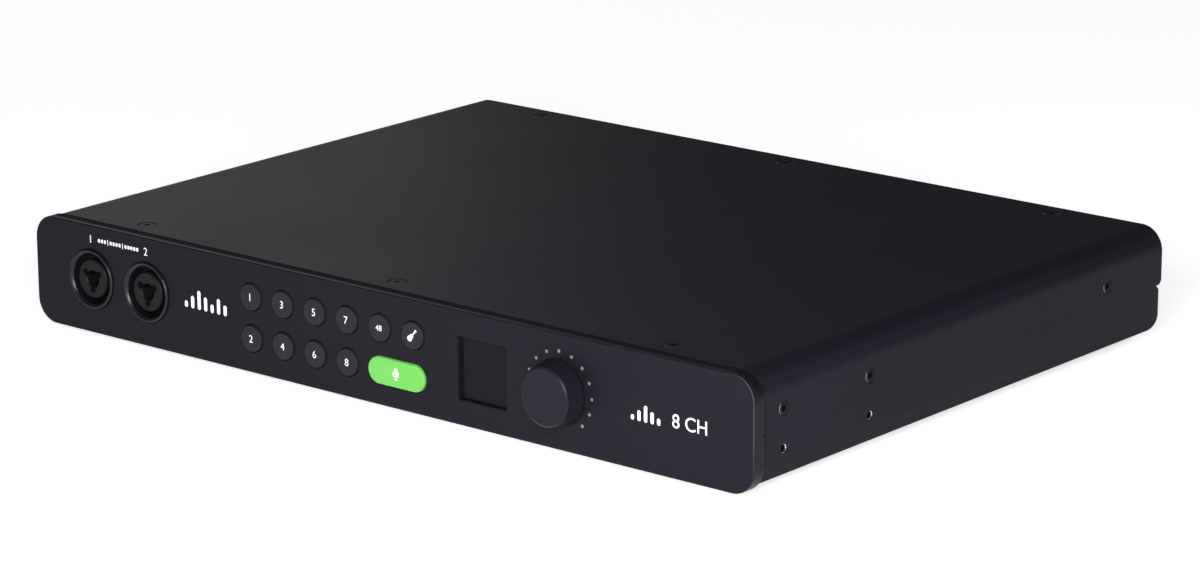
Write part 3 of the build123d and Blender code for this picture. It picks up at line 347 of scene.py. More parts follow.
tray_low, tray_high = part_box("bottom_tray")
cover_low, cover_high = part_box("top_cover")
SHELL_HALF = cover_high.x
SEAM = (tray_high.z + cover_low.z) / 2

# Painted shade: the tray turns darker, and rougher, towards its bottom.
UNDERSIDE_SHADE = [("Z", tray_low.z + 9 * MM, tray_low.z + 2 * MM)]
# Painted highlight: a lighter line is painted along the front edges of the shells' sides.
FRONT_EDGE_HIGHLIGHT = [
    ("Y", cover_low.y + 0.9 * MM, cover_low.y + 0.7 * MM),
    ("X", SHELL_HALF - 0.9 * MM, SHELL_HALF - 0.7 * MM),
]
CASE_TINT = (1.0, 0.92, 1.5)
CASE_FINISH = grained_black(
    "case_anodised", 0.0085, CASE_TINT, 0.45, 0.45 * MM, 0.02 * MM, 0.058, UNDERSIDE_SHADE, FRONT_EDGE_HIGHLIGHT
)


def arc(x, z, radius, start, end, steps=14):
    """Points round part of a circle, in degrees."""
    turns = [math.radians(start + (end - start) * step / steps) for step in range(steps + 1)]
    return [(x + radius * math.cos(turn), z + radius * math.sin(turn)) for turn in turns]


def shell_section(flat_z, edge_z, level):
    """A U-shaped section from its flat at flat_z to its open edges at edge_z, right to left."""
    bend_z = flat_z - level * SHELL_CORNER
    bend_x = SHELL_HALF - SHELL_CORNER
    outside = arc(bend_x, bend_z, SHELL_CORNER, 0, 90 * level)
    inside = arc(bend_x, bend_z, SHELL_CORNER - WALL, 90 * level, 0)
    half_out = [(SHELL_HALF, edge_z)] + outside
    half_in = inside + [(SHELL_HALF - WALL, edge_z)]
    mirrored_out = [(-x, z) for x, z in reversed(half_out)]
    mirrored_in = [(-x, z) for x, z in reversed(half_in)]
    return half_out + mirrored_out + mirrored_in + half_in


def bar(bm, centre, size, turn=0.0):
    """Adds a block, turned about X."""
    place = Matrix.Translation(centre) @ Matrix.Rotation(turn, 4, "X") @ Matrix.Diagonal((*size, 1))
    bmesh.ops.create_cube(bm, size=1, matrix=place)
    return bm


def shell(flat_z, edge_z, level, front, back):
    """One half of the case with its corners at the seam broken at both ends."""
    curve = flat_curve()
    drawn_outline(curve, shell_section(flat_z, edge_z, level))
    bm = plate(curve, front, back, SHELL_EDGE)
    notches = bmesh.new()
    for end in (front, back):
        size = (3 * SHELL_HALF, math.sqrt(2) * NOTCH, math.sqrt(2) * NOTCH)
        bar(notches, (0, end, SEAM), size, math.pi / 4)
    return carve(bm, notches)


side_low, side_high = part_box("side_screws")
rack_mounts = {m["name"]: m for m in frame["record"]["mounts"]}
RACK_Z = rack_mounts["right_rack_ear"]["pos_m"][2]
RACK_Y = rack_mounts["right_rack_ear"]["pos_m"][1]
RACK_HALF_PITCH = rack_mounts["right_rack_ear"]["dims"]["spacing_x_mm"] * MM / 2

SEAM_LINE = 0.03 * MM
tray = shell(tray_low.z, cover_low.z - SEAM_LINE, -1, tray_low.y, tray_high.y)
RACK_MOUTHS = [
    (Vector((side * SHELL_HALF, depth, RACK_Z)), (side, 0, 0))
    for side in (-1, 1)
    for depth in (RACK_Y - RACK_HALF_PITCH, RACK_Y + RACK_HALF_PITCH)
]
drill_profile = [
    (0, OVERCUT, 0),
    (RACK_HOLE + RACK_CHAMFER + OVERCUT, OVERCUT, 0),
    (RACK_HOLE, -RACK_CHAMFER, 0),
    (RACK_HOLE, -DRILL_DEPTH, 0),
    (0, -DRILL_DEPTH, 0),
]
rack_drill = bmesh.new()
for mouth, facing in RACK_MOUTHS:
    spun(rack_drill, drill_profile, mouth, facing, 32)
tray = carve(tray, rack_drill)
place_piece("bottom_tray_shell", tray, "case", "case_black", CASE_FINISH, "bottom_tray")


# ---------------------------------------------------------------------------
# Rubber feet: four moulded discs stuck under the tray, with a shallow hollow that grips
# the table.
# ---------------------------------------------------------------------------

FOOT_RADIUS = 8.0 * MM
FOOT_HOLLOW = 5.2 * MM

RUBBER = grained_black("foot_rubber", 0.018, (1.0, 1.0, 1.0), 0.82, 0.7 * MM, 0.05 * MM, 0.3)


def stamp(bm, source, place):
    """Adds a copy of a mesh to a bmesh, moved by place."""
    before = set(bm.verts)
    bm.from_mesh(source)
    fresh = [vert for vert in bm.verts if vert not in before]
    bmesh.ops.transform(bm, matrix=place, verts=fresh)


def pattern(bm):
    """Turns a bmesh into a mesh to be stamped several times."""
    bmesh.ops.remove_doubles(bm, verts=bm.verts, dist=MERGE)
    mesh = bpy.data.meshes.new("pattern")
    bm.to_mesh(mesh)
    bm.free()
    return mesh


feet_low, feet_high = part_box("rubber_feet")
foot_height = feet_high.z - feet_low.z
foot_profile = [
    (0, 0.7 * MM, 0),
    (FOOT_HOLLOW, 0.5 * MM, 0),
    (FOOT_HOLLOW + 0.6 * MM, 0, 0.25 * MM),
    (FOOT_RADIUS - 0.5 * MM, 0, 0.4 * MM),
    (FOOT_RADIUS, foot_height, 0),
    (0, foot_height, 0),
]
foot = pattern(spun(bmesh.new(), foot_profile, (0, 0, 0), (0, 0, 1), 48))
feet = bmesh.new()
for x in (feet_low.x + FOOT_RADIUS, feet_high.x - FOOT_RADIUS):
    for y in (feet_low.y + FOOT_RADIUS, feet_high.y - FOOT_RADIUS):
        stamp(feet, foot, Matrix.Translation((x, y, feet_low.z)))
place_piece("feet", feet, "case", "foot_rubber", RUBBER, "rubber_feet")


# ---------------------------------------------------------------------------
# Steelwork inside the case: two brackets that hold the panels and a rail along each side, in
# black zinc. They are bent sheet, seen only through gaps. Screws hold the boards.
# ---------------------------------------------------------------------------

def plated(name, colour, roughness, streak=(1, 1, 1), metallic=1.0):
    """A bright metal with fine drawn lines and cloudy oxidation."""
    recipe = Recipe(name, Metallic=metallic)
    lines = recipe.noise(0.5 * MM, 3, streak)
    cloud = recipe.noise(14 * MM, 3)
    tone = recipe.mix(cloud, colour, tuple(0.72 * part for part in colour))
    rough = roughness + (lines - 0.5) * 0.16 + (cloud - 0.5) * 0.12
    return recipe.feed(Base_Color=tone, Roughness=rough, Normal=recipe.bump(lines, 0.01 * MM))


def dress(finish, *nodes):
    """Gives CAD nodes a finish in place of their plain one."""
    for node in nodes:
        data = frame["nodes"][node].data
        data.materials.clear()
        data.materials.append(finish)


ZINC = plated("zinc_plate", (0.5, 0.5, 0.48), 0.38, (1, 12, 1))
BLACK_ZINC = plated("black_zinc", (0.012, 0.012, 0.014), 0.5, (1, 12, 1), 0.3)
dress(BLACK_ZINC, "front_bracket", "rear_bracket", "left_side_rail", "right_side_rail")
dress(ZINC, "board_screws")


# ---------------------------------------------------------------------------
# Threads in the rack-ear holes: cut after the tray was anodised, so that their crests are
# bare bright metal, just inside each hole's mouth.
# ---------------------------------------------------------------------------

THREAD_RISE = 0.25 * MM
THREAD_SEAT = 0.02 * MM
THREAD_END = WALL - 0.1 * MM

thread_profile = [
    (RACK_HOLE + THREAD_SEAT, THREAD_RISE - 0.6 * MM, 0),
    (RACK_HOLE - THREAD_RISE, -0.6 * MM, 0),
    (RACK_HOLE - THREAD_RISE, -THREAD_END, 0),
    (RACK_HOLE + THREAD_SEAT, -THREAD_END, 0),
]
threads = bmesh.new()
for mouth, facing in RACK_MOUTHS:
    spun(threads, thread_profile, mouth, facing, 32, True)
BARE = plated("bare_thread", (0.62, 0.62, 0.64), 0.25, (1, 1, 6))
place_piece("rack_threads", threads, "case", None, BARE)


# ---------------------------------------------------------------------------
# Boards and parts inside: glass-fibre boards with a green mask and copper tracks, moulded
# chips, sleeved capacitors, a taped transformer and an extruded heatsink.
# ---------------------------------------------------------------------------

def masked_board(name):
    """Green solder mask over copper tracks that run in short straight lengths."""
    recipe = Recipe(name, Coat_Weight=0.25)
    cells = recipe.node("ShaderNodeTexVoronoi", {}, {"Vector": recipe.place, "Scale": 320.0})
    track = recipe.band(cells, 0.32, 0.38)
    cloud = recipe.noise(20 * MM, 2)
    green = recipe.mix(track, (0.012, 0.075, 0.03), (0.02, 0.13, 0.055))
    return recipe.feed(
        Base_Color=green, Roughness=0.34 + (cloud - 0.5) * 0.12, Normal=recipe.bump(track, 0.04 * MM)
    )


def moulded(name, colour, roughness, grain=0.35 * MM, depth=0.015 * MM, **constants):
    """A moulded plastic: one colour with faint flow marks and a fine spark-eroded grain."""
    recipe = Recipe(name, **constants)
    flow = recipe.noise(9 * MM, 3)
    grit = recipe.noise(grain, 2)
    tone = recipe.mix(flow, colour, tuple(1.22 * part for part in colour))
    rough = roughness + (grit - 0.5) * 0.12 + (flow - 0.5) * 0.1
    return recipe.feed(Base_Color=tone, Roughness=rough, Normal=recipe.bump(grit, depth))


CHIP_EPOXY = moulded("chip_epoxy", (0.018, 0.018, 0.02), 0.6)
STEEL = plated("turned_steel", (0.56, 0.56, 0.57), 0.28)
BRASS = plated("standoff_brass", (0.72, 0.52, 0.24), 0.32)
dress(masked_board("board_mask"), "front_jack_board", "control_board", "main_board", "power_board")
dress(CHIP_EPOXY, "main_board_chips", "button_switches", "display_module", "encoder_plunger")
dress(moulded("capacitor_sleeve", (0.02, 0.022, 0.035), 0.3), "power_capacitors")
dress(moulded("winding_tape", (0.55, 0.38, 0.05), 0.45), "power_transformer")
dress(moulded("flat_cable", (0.32, 0.32, 0.34), 0.5), "ribbon_cable")
dress(plated("heatsink_extrusion", (0.62, 0.62, 0.64), 0.42, (1, 1, 9)), "power_heatsink")
dress(BRASS, "board_standoffs")
dress(STEEL, "encoder_body", "encoder_nut", "encoder_shaft", "mains_inlet_pins")


# ---------------------------------------------------------------------------
# Rear panel: a punched plate between the shells, coated like the case, with the sockets'
# numbers printed in white.
# ---------------------------------------------------------------------------

INK_LIFT = 0.03 * MM
INK = moulded("white_ink", (0.78, 0.78, 0.79), 0.5, 0.2 * MM, 0.004 * MM)
CLEARANCE = 0.1 * MM
JACK_RADIUS = 12.0 * MM
OUTPUT_BARREL = 4.4 * MM
CLOCK_THREAD = 6.2 * MM

rear_low, rear_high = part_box("rear_panel")
panel_low, panel_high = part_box("front_panel")
MIDDLE_Z = (panel_low.z + panel_high.z) / 2


def even_places(low, high, size, count):
    """Centres of pieces of one size, evenly spaced so that they fill a span."""
    step = (high - low - size) / (count - 1)
    return [low + size / 2 + index * step for index in range(count)]


jack_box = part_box("rear_jack_housings")
JACK_BODY = jack_box[1].z - jack_box[0].z
REAR_JACKS = even_places(jack_box[0].x, jack_box[1].x, JACK_BODY, 6)
out_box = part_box("line_output_jacks")
OUTPUT_BODY = (13.0 * MM, 12.0 * MM)
OUTPUT_SPOTS = [
    (x, z)
    for x in even_places(out_box[0].x, out_box[1].x, OUTPUT_BODY[0], 4)
    for z in even_places(out_box[0].z, out_box[1].z, OUTPUT_BODY[1], 2)
]
light_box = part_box("optical_ports")
OPTICAL_BODY = (13.0 * MM, 11.0 * MM)
OPTICAL_SPOTS = [
    (x, z)
    for x in even_places(light_box[0].x, light_box[1].x, OPTICAL_BODY[0], 2)
    for z in even_places(light_box[0].z, light_box[1].z, OPTICAL_BODY[1], 2)
]
clock_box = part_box("clock_sockets")
CLOCK_X = (clock_box[0].x + clock_box[1].x) / 2
CLOCK_SPOTS = [(CLOCK_X, z) for z in even_places(clock_box[0].z, clock_box[1].z, 2 * CLOCK_THREAD, 2)]
inlet_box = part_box("mains_inlet")
INLET_X = (inlet_box[0].x + inlet_box[1].x) / 2
INLET_RIM = 2.0 * MM
INLET_SIZE = (31.0 * MM - 2 * INLET_RIM, 23.8 * MM - 2 * INLET_RIM)
switch_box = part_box("switch_housing")
SWITCH_X = (switch_box[0].x + switch_box[1].x) / 2
SWITCH_SIZE = (13.0 * MM, 19.0 * MM)


def round_outline(curve, x, z, radius):
    rounded_outline(curve, x, z, 2 * radius, 2 * radius, radius)


rear = flat_curve()
rear_size = (rear_high.x - rear_low.x, rear_high.z - rear_low.z)
rounded_outline(rear, 0, (rear_low.z + rear_high.z) / 2, *rear_size, SHELL_CORNER - WALL - CLEARANCE)
for x in REAR_JACKS:
    round_outline(rear, x, MIDDLE_Z, JACK_RADIUS + CLEARANCE)
for x, z in OUTPUT_SPOTS:
    round_outline(rear, x, z, OUTPUT_BARREL + CLEARANCE)
for x, z in OPTICAL_SPOTS:
    rounded_outline(rear, x, z, OPTICAL_BODY[0] - 2 * MM, OPTICAL_BODY[1] - 2 * MM, 0.4 * MM)
for x, z in CLOCK_SPOTS:
    round_outline(rear, x, z, CLOCK_THREAD + CLEARANCE)
for x, size, corner in ((SWITCH_X, SWITCH_SIZE, 0.5 * MM), (INLET_X, INLET_SIZE, 3.5 * MM)):
    rounded_outline(rear, x, MIDDLE_Z, size[0] + CLEARANCE, size[1] + CLEARANCE, corner)
rear_plate = plate(rear, rear_low.y, rear_high.y, 0.15 * MM, 1)
place_piece("rear_plate", rear_plate, "case", "case_black", CASE_FINISH, "rear_panel")


def lettering(name, text, x, z, height, face, body, facing=-1, spacing=1.0):
    """Prints text on a face that looks to the front (-1) or the rear (1), centred on x and z."""
    curve = bpy.data.curves.new("lettering", "FONT")
    curve.body = text
    curve.align_x = "CENTER"
    curve.space_character = spacing
    curve.extrude = INK_LIFT / 2
    curve.resolution_u = 5
    holder = bpy.data.objects.new("holder", curve)
    mesh = bpy.data.meshes.new_from_object(holder)
    bpy.data.objects.remove(holder)
    bm = bmesh.new()
    bm.from_mesh(mesh)
    bpy.data.meshes.remove(mesh)
    spots = [vert.co for vert in bm.verts]
    low = Vector((min(spot.x for spot in spots), min(spot.y for spot in spots), 0))
    high = Vector((max(spot.x for spot in spots), max(spot.y for spot in spots), 0))
    size = height / (high.y - low.y)
    half_turn = Matrix.Rotation(math.pi if facing > 0 else 0, 4, "Z")
    place = Matrix.Translation((x, face + facing * INK_LIFT / 2, z)) @ half_turn @ UPRIGHT
    centre = Matrix.Translation(-(low + high) / 2)
    scale = Matrix.Diagonal((size, size, 1, 1))
    bmesh.ops.transform(bm, matrix=place @ scale @ centre, verts=bm.verts)
    return place_piece(name, bm, body, None, INK)


REAR_LABEL_Z = rear_high.z - 3.0 * MM
for number, x in enumerate(reversed(REAR_JACKS), start=3):
    lettering(f"rear_number_{number}", str(number), x, REAR_LABEL_Z, 2.2 * MM, rear_high.y, "case", 1)


# ---------------------------------------------------------------------------
# Combined sockets: a black nylon shell in a round hole, with a deep ring groove for a
# microphone plug round a core that has three pin holes and the bore for a round plug.
# ---------------------------------------------------------------------------

GROOVE_RADIUS = 10.3 * MM
CORE_RADIUS = 7.9 * MM
CORE_RECESS = 1.2 * MM
GROOVE_DEPTH = 7.0 * MM
PLUG_BORE = 3.25 * MM
PIN_RADIUS = 1.45 * MM
PIN_CIRCLE = 4.3 * MM
PIN_ANGLES = (150, 30, 270)
PIN_DEPTH = 12 * MM
SOCKET_LENGTH = 24 * MM

NYLON = moulded("socket_nylon", (0.0065, 0.0062, 0.0085), 0.28, Specular_IOR_Level=0.3)
CORE_NYLON = moulded("socket_core_nylon", (0.0055, 0.0055, 0.007), 0.4, Specular_IOR_Level=0.12)


def tag(bm, other, place=Matrix()):
    """Adds another bmesh to a bmesh."""
    stamp(bm, pattern(other), place)
    return bm


def socket_shell(nose, length):
    """A socket's shell at x = 0, z = MIDDLE_Z, facing the front, with its face at y = 0."""
    lip = JACK_RADIUS - GROOVE_RADIUS
    ring = [
        (GROOVE_RADIUS, nose + 1 * MM, 0),
        (GROOVE_RADIUS, 0.5 * lip, 0.2 * MM),
        (GROOVE_RADIUS + 0.5 * lip, 0, 0.25 * MM),
        (JACK_RADIUS - 0.35 * MM, 0, 0.15 * MM),
        (JACK_RADIUS, 0.35 * MM, 0.15 * MM),
        (JACK_RADIUS, nose + 1 * MM, 0),
    ]
    bm = spun(bmesh.new(), ring, (0, 0, MIDDLE_Z), steps=96, closed=True)
    body = flat_curve(16)
    rounded_outline(body, 0, MIDDLE_Z, JACK_BODY, JACK_BODY, 3 * MM)
    round_outline(body, 0, MIDDLE_Z, GROOVE_RADIUS + 0.02 * MM)
    tag(bm, plate(body, nose, length, 0.2 * MM, 1))
    floor_ring = [(0, GROOVE_DEPTH, 0), (GROOVE_RADIUS + 0.1 * MM, GROOVE_DEPTH, 0)]
    floor_ring += [(radius, GROOVE_DEPTH + 2 * MM, 0) for radius, _, _ in reversed(floor_ring)]
    return spun(bm, floor_ring, (0, 0, MIDDLE_Z), steps=48)


def bore(radius, depth):
    """The outline of a drill that cuts a round hole of some depth into a face at y = 0."""
    return [(0, -OVERCUT, 0), (radius, -OVERCUT, 0), (radius, depth, 0), (0, depth, 0)]


def socket_core(length):
    """A socket's core in the same place: a plug bore and three pin holes in a round face."""
    profile = [
        (PLUG_BORE, CORE_RECESS + 0.5 * MM, 0.2 * MM),
        (PLUG_BORE + 0.5 * MM, CORE_RECESS, 0.1 * MM),
        (CORE_RADIUS - 0.4 * MM, CORE_RECESS, 0.15 * MM),
        (CORE_RADIUS, CORE_RECESS + 0.4 * MM, 0.15 * MM),
        (CORE_RADIUS, length, 0),
        (PLUG_BORE, length, 0),
    ]
    bm = spun(bmesh.new(), profile, (0, 0, MIDDLE_Z), steps=72, closed=True)
    drill = bmesh.new()
    for angle in PIN_ANGLES:
        turn = math.radians(angle)
        spot = Vector((PIN_CIRCLE * math.cos(turn), 0, MIDDLE_Z + PIN_CIRCLE * math.sin(turn)))
        spun(drill, bore(PIN_RADIUS, PIN_DEPTH), spot, steps=24)
    return carve(bm, drill)


def socket_row(name, places, face, turned, nose, housings, inserts):
    """Stamps sockets at places along x with their faces at y = face."""
    shell_mesh = pattern(socket_shell(nose, SOCKET_LENGTH))
    core_mesh = pattern(socket_core(SOCKET_LENGTH - CLEARANCE))
    shells, cores = bmesh.new(), bmesh.new()
    for x in places:
        place = Matrix.Translation((x, face, 0)) @ Matrix.Rotation(math.pi if turned else 0, 4, "Z")
        stamp(shells, shell_mesh, place)
        stamp(cores, core_mesh, place)
    place_piece(f"{name}_shells", shells, "case", "jack_black", NYLON, housings)
    place_piece(f"{name}_cores", cores, "case", "jack_core_black", CORE_NYLON, inserts)


REAR_NOSE = 3.0 * MM
socket_row(
    "rear_socket", REAR_JACKS, jack_box[1].y, True, REAR_NOSE, "rear_jack_housings", "rear_jack_inserts"
)
front_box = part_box("front_jack_housings")
FRONT_JACKS = even_places(front_box[0].x, front_box[1].x, JACK_BODY, 2)
nose = panel_high.y - front_box[0].y
socket_row(
    "front_socket", FRONT_JACKS, front_box[0].y, False, nose, "front_jack_housings", "front_jack_inserts"
)


# ---------------------------------------------------------------------------
# Other rear fittings: moulded output, optical and mains sockets, nickel-plated nuts and
# threaded clock sockets, and a rocker switch in its clipped housing.
# ---------------------------------------------------------------------------

BLACK_NICKEL = plated("black_nickel", (0.09, 0.09, 0.095), 0.3)
dress(NYLON, "line_output_jacks", "optical_ports", "mains_inlet", "switch_housing")
dress(BLACK_NICKEL, "line_output_nuts")
dress(plated("bright_nickel", (0.6, 0.59, 0.57), 0.24), "clock_sockets")
dress(CORE_NYLON, "power_rocker")
SCREW_BLACK = moulded(
    "screw_black", (0.004, 0.004, 0.0055), 0.42, 0.3 * MM, 0.01 * MM, Specular_IOR_Level=0.06
)
dress(SCREW_BLACK, "panel_screws")


# ---------------------------------------------------------------------------
# Top cover: the upper half of the case, folded like the tray and anodised, countersunk for
# three screws along each end of its top and three down each side.
# ---------------------------------------------------------------------------

TOP_HEAD = 3.9 * MM
SIDE_HEAD = 3.1 * MM
TOP_CAP = TOP_HEAD - 0.25 * MM
SIDE_CAP = SIDE_HEAD - 0.2 * MM
SHANK = 1.75 * MM
SINK = 0.12 * MM
SOCKET_RADIUS = 1.25 * MM

top_low, top_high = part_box("top_screws")
TOP_SPOTS = [
    Vector((x, y, top_high.z))
    for x in even_places(top_low.x, top_high.x, 2 * TOP_HEAD, 3)
    for y in (top_low.y + TOP_HEAD, top_high.y - TOP_HEAD)
]
SIDE_Z = (side_low.z + side_high.z) / 2
SIDE_DEPTHS = (side_low.y + SIDE_HEAD, RACK_Y + RACK_HALF_PITCH, side_high.y - SIDE_HEAD)
SIDE_SPOTS = [(Vector((side * SHELL_HALF, y, SIDE_Z)), side) for side in (-1, 1) for y in SIDE_DEPTHS]


def sink_profile(head):
    """The cutter for a countersunk hole, from outside the face to below the shell."""
    return [
        (0, OVERCUT, 0),
        (head + 0.35 * MM + OVERCUT, OVERCUT, 0),
        (head + 0.05 * MM, -SINK, 0),
        (SHANK, -SINK - head + SHANK, 0),
        (SHANK, -2 * WALL, 0),
        (0, -2 * WALL, 0),
    ]


cover = shell(cover_high.z, cover_low.z, 1, cover_low.y, cover_high.y)
sinks = bmesh.new()
for spot in TOP_SPOTS:
    spun(sinks, sink_profile(TOP_CAP), spot, (0, 0, 1), 48)
for spot, side in SIDE_SPOTS:
    spun(sinks, sink_profile(SIDE_CAP), spot, (side, 0, 0), 48)
cover = carve(cover, sinks)
place_piece("top_cover_shell", cover, "case", "case_black", CASE_FINISH, "top_cover")


# ---------------------------------------------------------------------------
# Case screws: countersunk socket screws in black zinc, six in the top and three in each
# side, with their heads just below the surface and their rims rubbed bright.
# ---------------------------------------------------------------------------

SCREW_REACH = 5.2 * MM
KEY_DEPTH = 1.3 * MM
RIM_WIDTH = 0.16 * MM
RIM_INSET = 0.26 * MM
RIM_DEPTH = 0.45 * MM


def cap_screw(head):
    """A countersunk screw with a hexagonal socket, pointing down -Y from its face at 0."""
    profile = [
        (0, -SINK, 0),
        (head - 0.3 * MM, -SINK, 0.28 * MM),
        (head - 0.3 * MM, -SINK - 0.5 * MM, 0),
        (SHANK, -SINK - head + SHANK, 0),
        (SHANK, -SCREW_REACH, 0),
        (0, -SCREW_REACH, 0),
    ]
    screw = spun(bmesh.new(), profile, (0, 0, 0), (0, 1, 0), 48)
    key = [(0, OVERCUT, 0), (SOCKET_RADIUS, OVERCUT, 0), (SOCKET_RADIUS, -KEY_DEPTH, 0)]
    key.append((0, -KEY_DEPTH - 0.3 * MM, 0))
    return pattern(carve(screw, spun(bmesh.new(), key, (0, 0, 0), (0, 1, 0), 6)))


def rim_profile(head):
    """The narrow sloped ring round the edge of a screw's head."""
    outer, inner = head - RIM_INSET, head - RIM_INSET - RIM_WIDTH
    return [
        (inner, -SINK + 0.01 * MM, 0),
        (outer, -SINK - 0.14 * MM, 0.06 * MM),
        (outer, -SINK - RIM_DEPTH, 0),
        (inner, -SINK - RIM_DEPTH, 0),
    ]


top_set, side_set, rims = bmesh.new(), bmesh.new(), bmesh.new()
upward = [(spot, (0, 0, 1)) for spot in TOP_SPOTS]
sideways = [(spot, (side, 0, 0)) for spot, side in SIDE_SPOTS]
for screws, head, spots in ((top_set, TOP_CAP, upward), (side_set, SIDE_CAP, sideways)):
    screw = cap_screw(head)
    for spot, facing in spots:
        stamp(screws, screw, Matrix.Translation(spot) @ turn_to(facing))
        spun(rims, rim_profile(head), spot, facing, 48, True)
RUBBED = plated("rubbed_rim", (0.3, 0.3, 0.33), 0.3)
place_piece("screw_rims", rims, "case", None, RUBBED)
place_piece("top_cap_screws", top_set, "case", "screw_black", SCREW_BLACK, "top_screws")
place_piece("side_cap_screws", side_set, "case", "screw_black", SCREW_BLACK, "side_screws")


# ---------------------------------------------------------------------------
# Front panel: a thick aluminium plate, machined all over, blasted and anodised black. Its
# front edge is broken all round, with a painted highlight on the chamfer at its ends and a painted shade
# on the top face behind it.
# ---------------------------------------------------------------------------

PANEL_CORNER = 9.8 * MM
PANEL_EDGE = 0.4 * MM
BUTTON_RADIUS = 5.25 * MM
BUTTON_GAP = 0.2 * MM
DISPLAY_RECESS = 3.6 * MM
BUSHING = 3.6 * MM
DOT_RADIUS = 0.75 * MM
DOT_DEPTH = 7 * MM
DOT_CIRCLE = 15.3 * MM
NUT_RECESS = (6.6 * MM, 2.4 * MM)
FACE = panel_low.y

# Painted shade: the panel's top face is darker and rougher from just behind its front edge.
TOP_STRIP_SHADE = [
    ("Z", panel_high.z - PANEL_CORNER, panel_high.z - 0.3 * PANEL_CORNER),
    ("Y", FACE + 1 * MM, FACE + 3 * MM),
]
# Painted highlight: the chamfer of the front edge is painted lighter near both ends, more so higher up.
BROKEN_EDGE_HIGHLIGHT = [
    ("Y", FACE + 0.03 * MM, FACE + 0.08 * MM),
    ("Y", FACE + 0.32 * MM, FACE + 0.26 * MM),
    ("X", panel_high.x - 10 * MM, panel_high.x - 5 * MM),
    ("Z", panel_low.z + 6 * MM, panel_low.z + 20 * MM),
]
PANEL_TINT = (1.0, 0.93, 1.4)
PANEL_FINISH = grained_black(
    "panel_anodised", 0.0070, PANEL_TINT, 0.38, 0.4 * MM, 0.018 * MM, 0.08, TOP_STRIP_SHADE, BROKEN_EDGE_HIGHLIGHT
)

ROUND_BUTTONS = [f"channel_button_{number}" for number in range(1, 9)]
ROUND_BUTTONS += ["phantom_button", "instrument_button"]


def middle_of(node):
    low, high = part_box(node)
    return (low.x + high.x) / 2, (low.z + high.z) / 2


KNOB_X, KNOB_Z = middle_of("encoder_knob")
PILL_X, PILL_Z = middle_of("auto_gain_button")
pill_low, pill_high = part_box("auto_gain_button")
PILL_FLANGE = 1.0 * MM
PILL_LENGTH = pill_high.x - pill_low.x - 2 * PILL_FLANGE
glass_low, glass_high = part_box("display_window")
DISPLAY_X, DISPLAY_Z = middle_of("display_window")
DISPLAY_SIZE = (glass_high.x - glass_low.x - 4 * MM, glass_high.z - glass_low.z - 4 * MM)
DOT_SPOTS = [
    (KNOB_X + DOT_CIRCLE * math.cos(math.radians(-45 + 22.5 * step)),
     KNOB_Z + DOT_CIRCLE * math.sin(math.radians(-45 + 22.5 * step)))
    for step in range(13)
]

panel_curve = flat_curve(16)
panel_size = (panel_high.x - panel_low.x, panel_high.z - panel_low.z)
rounded_outline(panel_curve, 0, MIDDLE_Z, *panel_size, PANEL_CORNER)
for x in FRONT_JACKS:
    round_outline(panel_curve, x, MIDDLE_Z, JACK_RADIUS + CLEARANCE)
for name in ROUND_BUTTONS:
    round_outline(panel_curve, *middle_of(name), BUTTON_RADIUS + BUTTON_GAP)
pill_hole = (PILL_LENGTH + 2 * BUTTON_GAP, 2 * (BUTTON_RADIUS + BUTTON_GAP))
rounded_outline(panel_curve, PILL_X, PILL_Z, *pill_hole, BUTTON_RADIUS + BUTTON_GAP)
rounded_outline(panel_curve, DISPLAY_X, DISPLAY_Z, *DISPLAY_SIZE, 0.6 * MM)
round_outline(panel_curve, KNOB_X, KNOB_Z, BUSHING)
front = plate(panel_curve, panel_low.y, panel_high.y, PANEL_EDGE)
cutter = bmesh.new()
for x, z in DOT_SPOTS:
    spun(cutter, bore(DOT_RADIUS, DOT_DEPTH), (x, FACE, z), steps=24)
spun(cutter, bore(*NUT_RECESS), (KNOB_X, FACE, KNOB_Z))
pocket_front = FACE + DISPLAY_RECESS
pocket_depth = panel_high.y - pocket_front + OVERCUT
pocket_size = [side + 2 * CLEARANCE for side in (glass_high.x - glass_low.x, glass_high.z - glass_low.z)]
pocket = (pocket_size[0], pocket_depth, pocket_size[1])
bar(cutter, (DISPLAY_X, pocket_front + pocket_depth / 2, DISPLAY_Z), pocket)
front = carve(front, cutter)
place_piece("front_plate", front, "case", "panel_black", PANEL_FINISH, "front_panel")


# ---------------------------------------------------------------------------
# Push buttons: ten round caps in soft black plastic with printed marks, and one long cap in
# green translucent plastic with a lamp behind it. Each has a flange and a stem.
# ---------------------------------------------------------------------------

BUTTON_EDGE = 0.45 * MM
CAP_LENGTH = 7.0 * MM
FLANGE_THICKNESS = 0.9 * MM
FLANGE_BACK = 7.1 * MM
STEM_RADIUS = 1.6 * MM
MARK_HEIGHT = 2.9 * MM
FIGURE_HEIGHT = 2.2 * MM

BUTTON_FINISH = grained_black("button_soft", 0.0125, (1.0, 0.95, 1.35), 0.5, 0.3 * MM, 0.012 * MM, 0.16)

lamp = Recipe("pill_lit", Specular_IOR_Level=0.4)
lamp_cloud = lamp.noise(6 * MM, 2)
lamp_grit = lamp.noise(0.4 * MM, 1)
lamp_green = lamp.mix(lamp_cloud, (0.078, 0.315, 0.045), (0.096, 0.36, 0.058))
PILL_FINISH = lamp.feed(
    Base_Color=lamp_green,
    Emission_Color=lamp_green,
    Roughness=0.42 + (lamp_cloud - 0.5) * 0.1,
    Normal=lamp.bump(lamp_grit, 0.01 * MM),
)
lamp.shader.inputs["Emission Strength"].default_value = 0.62


def button_stem(bm, name, x, z):
    """Adds the stem that reaches back from a cap's flange to the node's far end."""
    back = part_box(name)[1].y
    profile = [(0, 0, 0), (STEM_RADIUS, 0, 0), (STEM_RADIUS, back - FACE - FLANGE_BACK, 0.2 * MM)]
    profile.append((0, back - FACE - FLANGE_BACK, 0))
    return spun(bm, profile, (x, FACE + FLANGE_BACK - 0.05 * MM, z), steps=24)


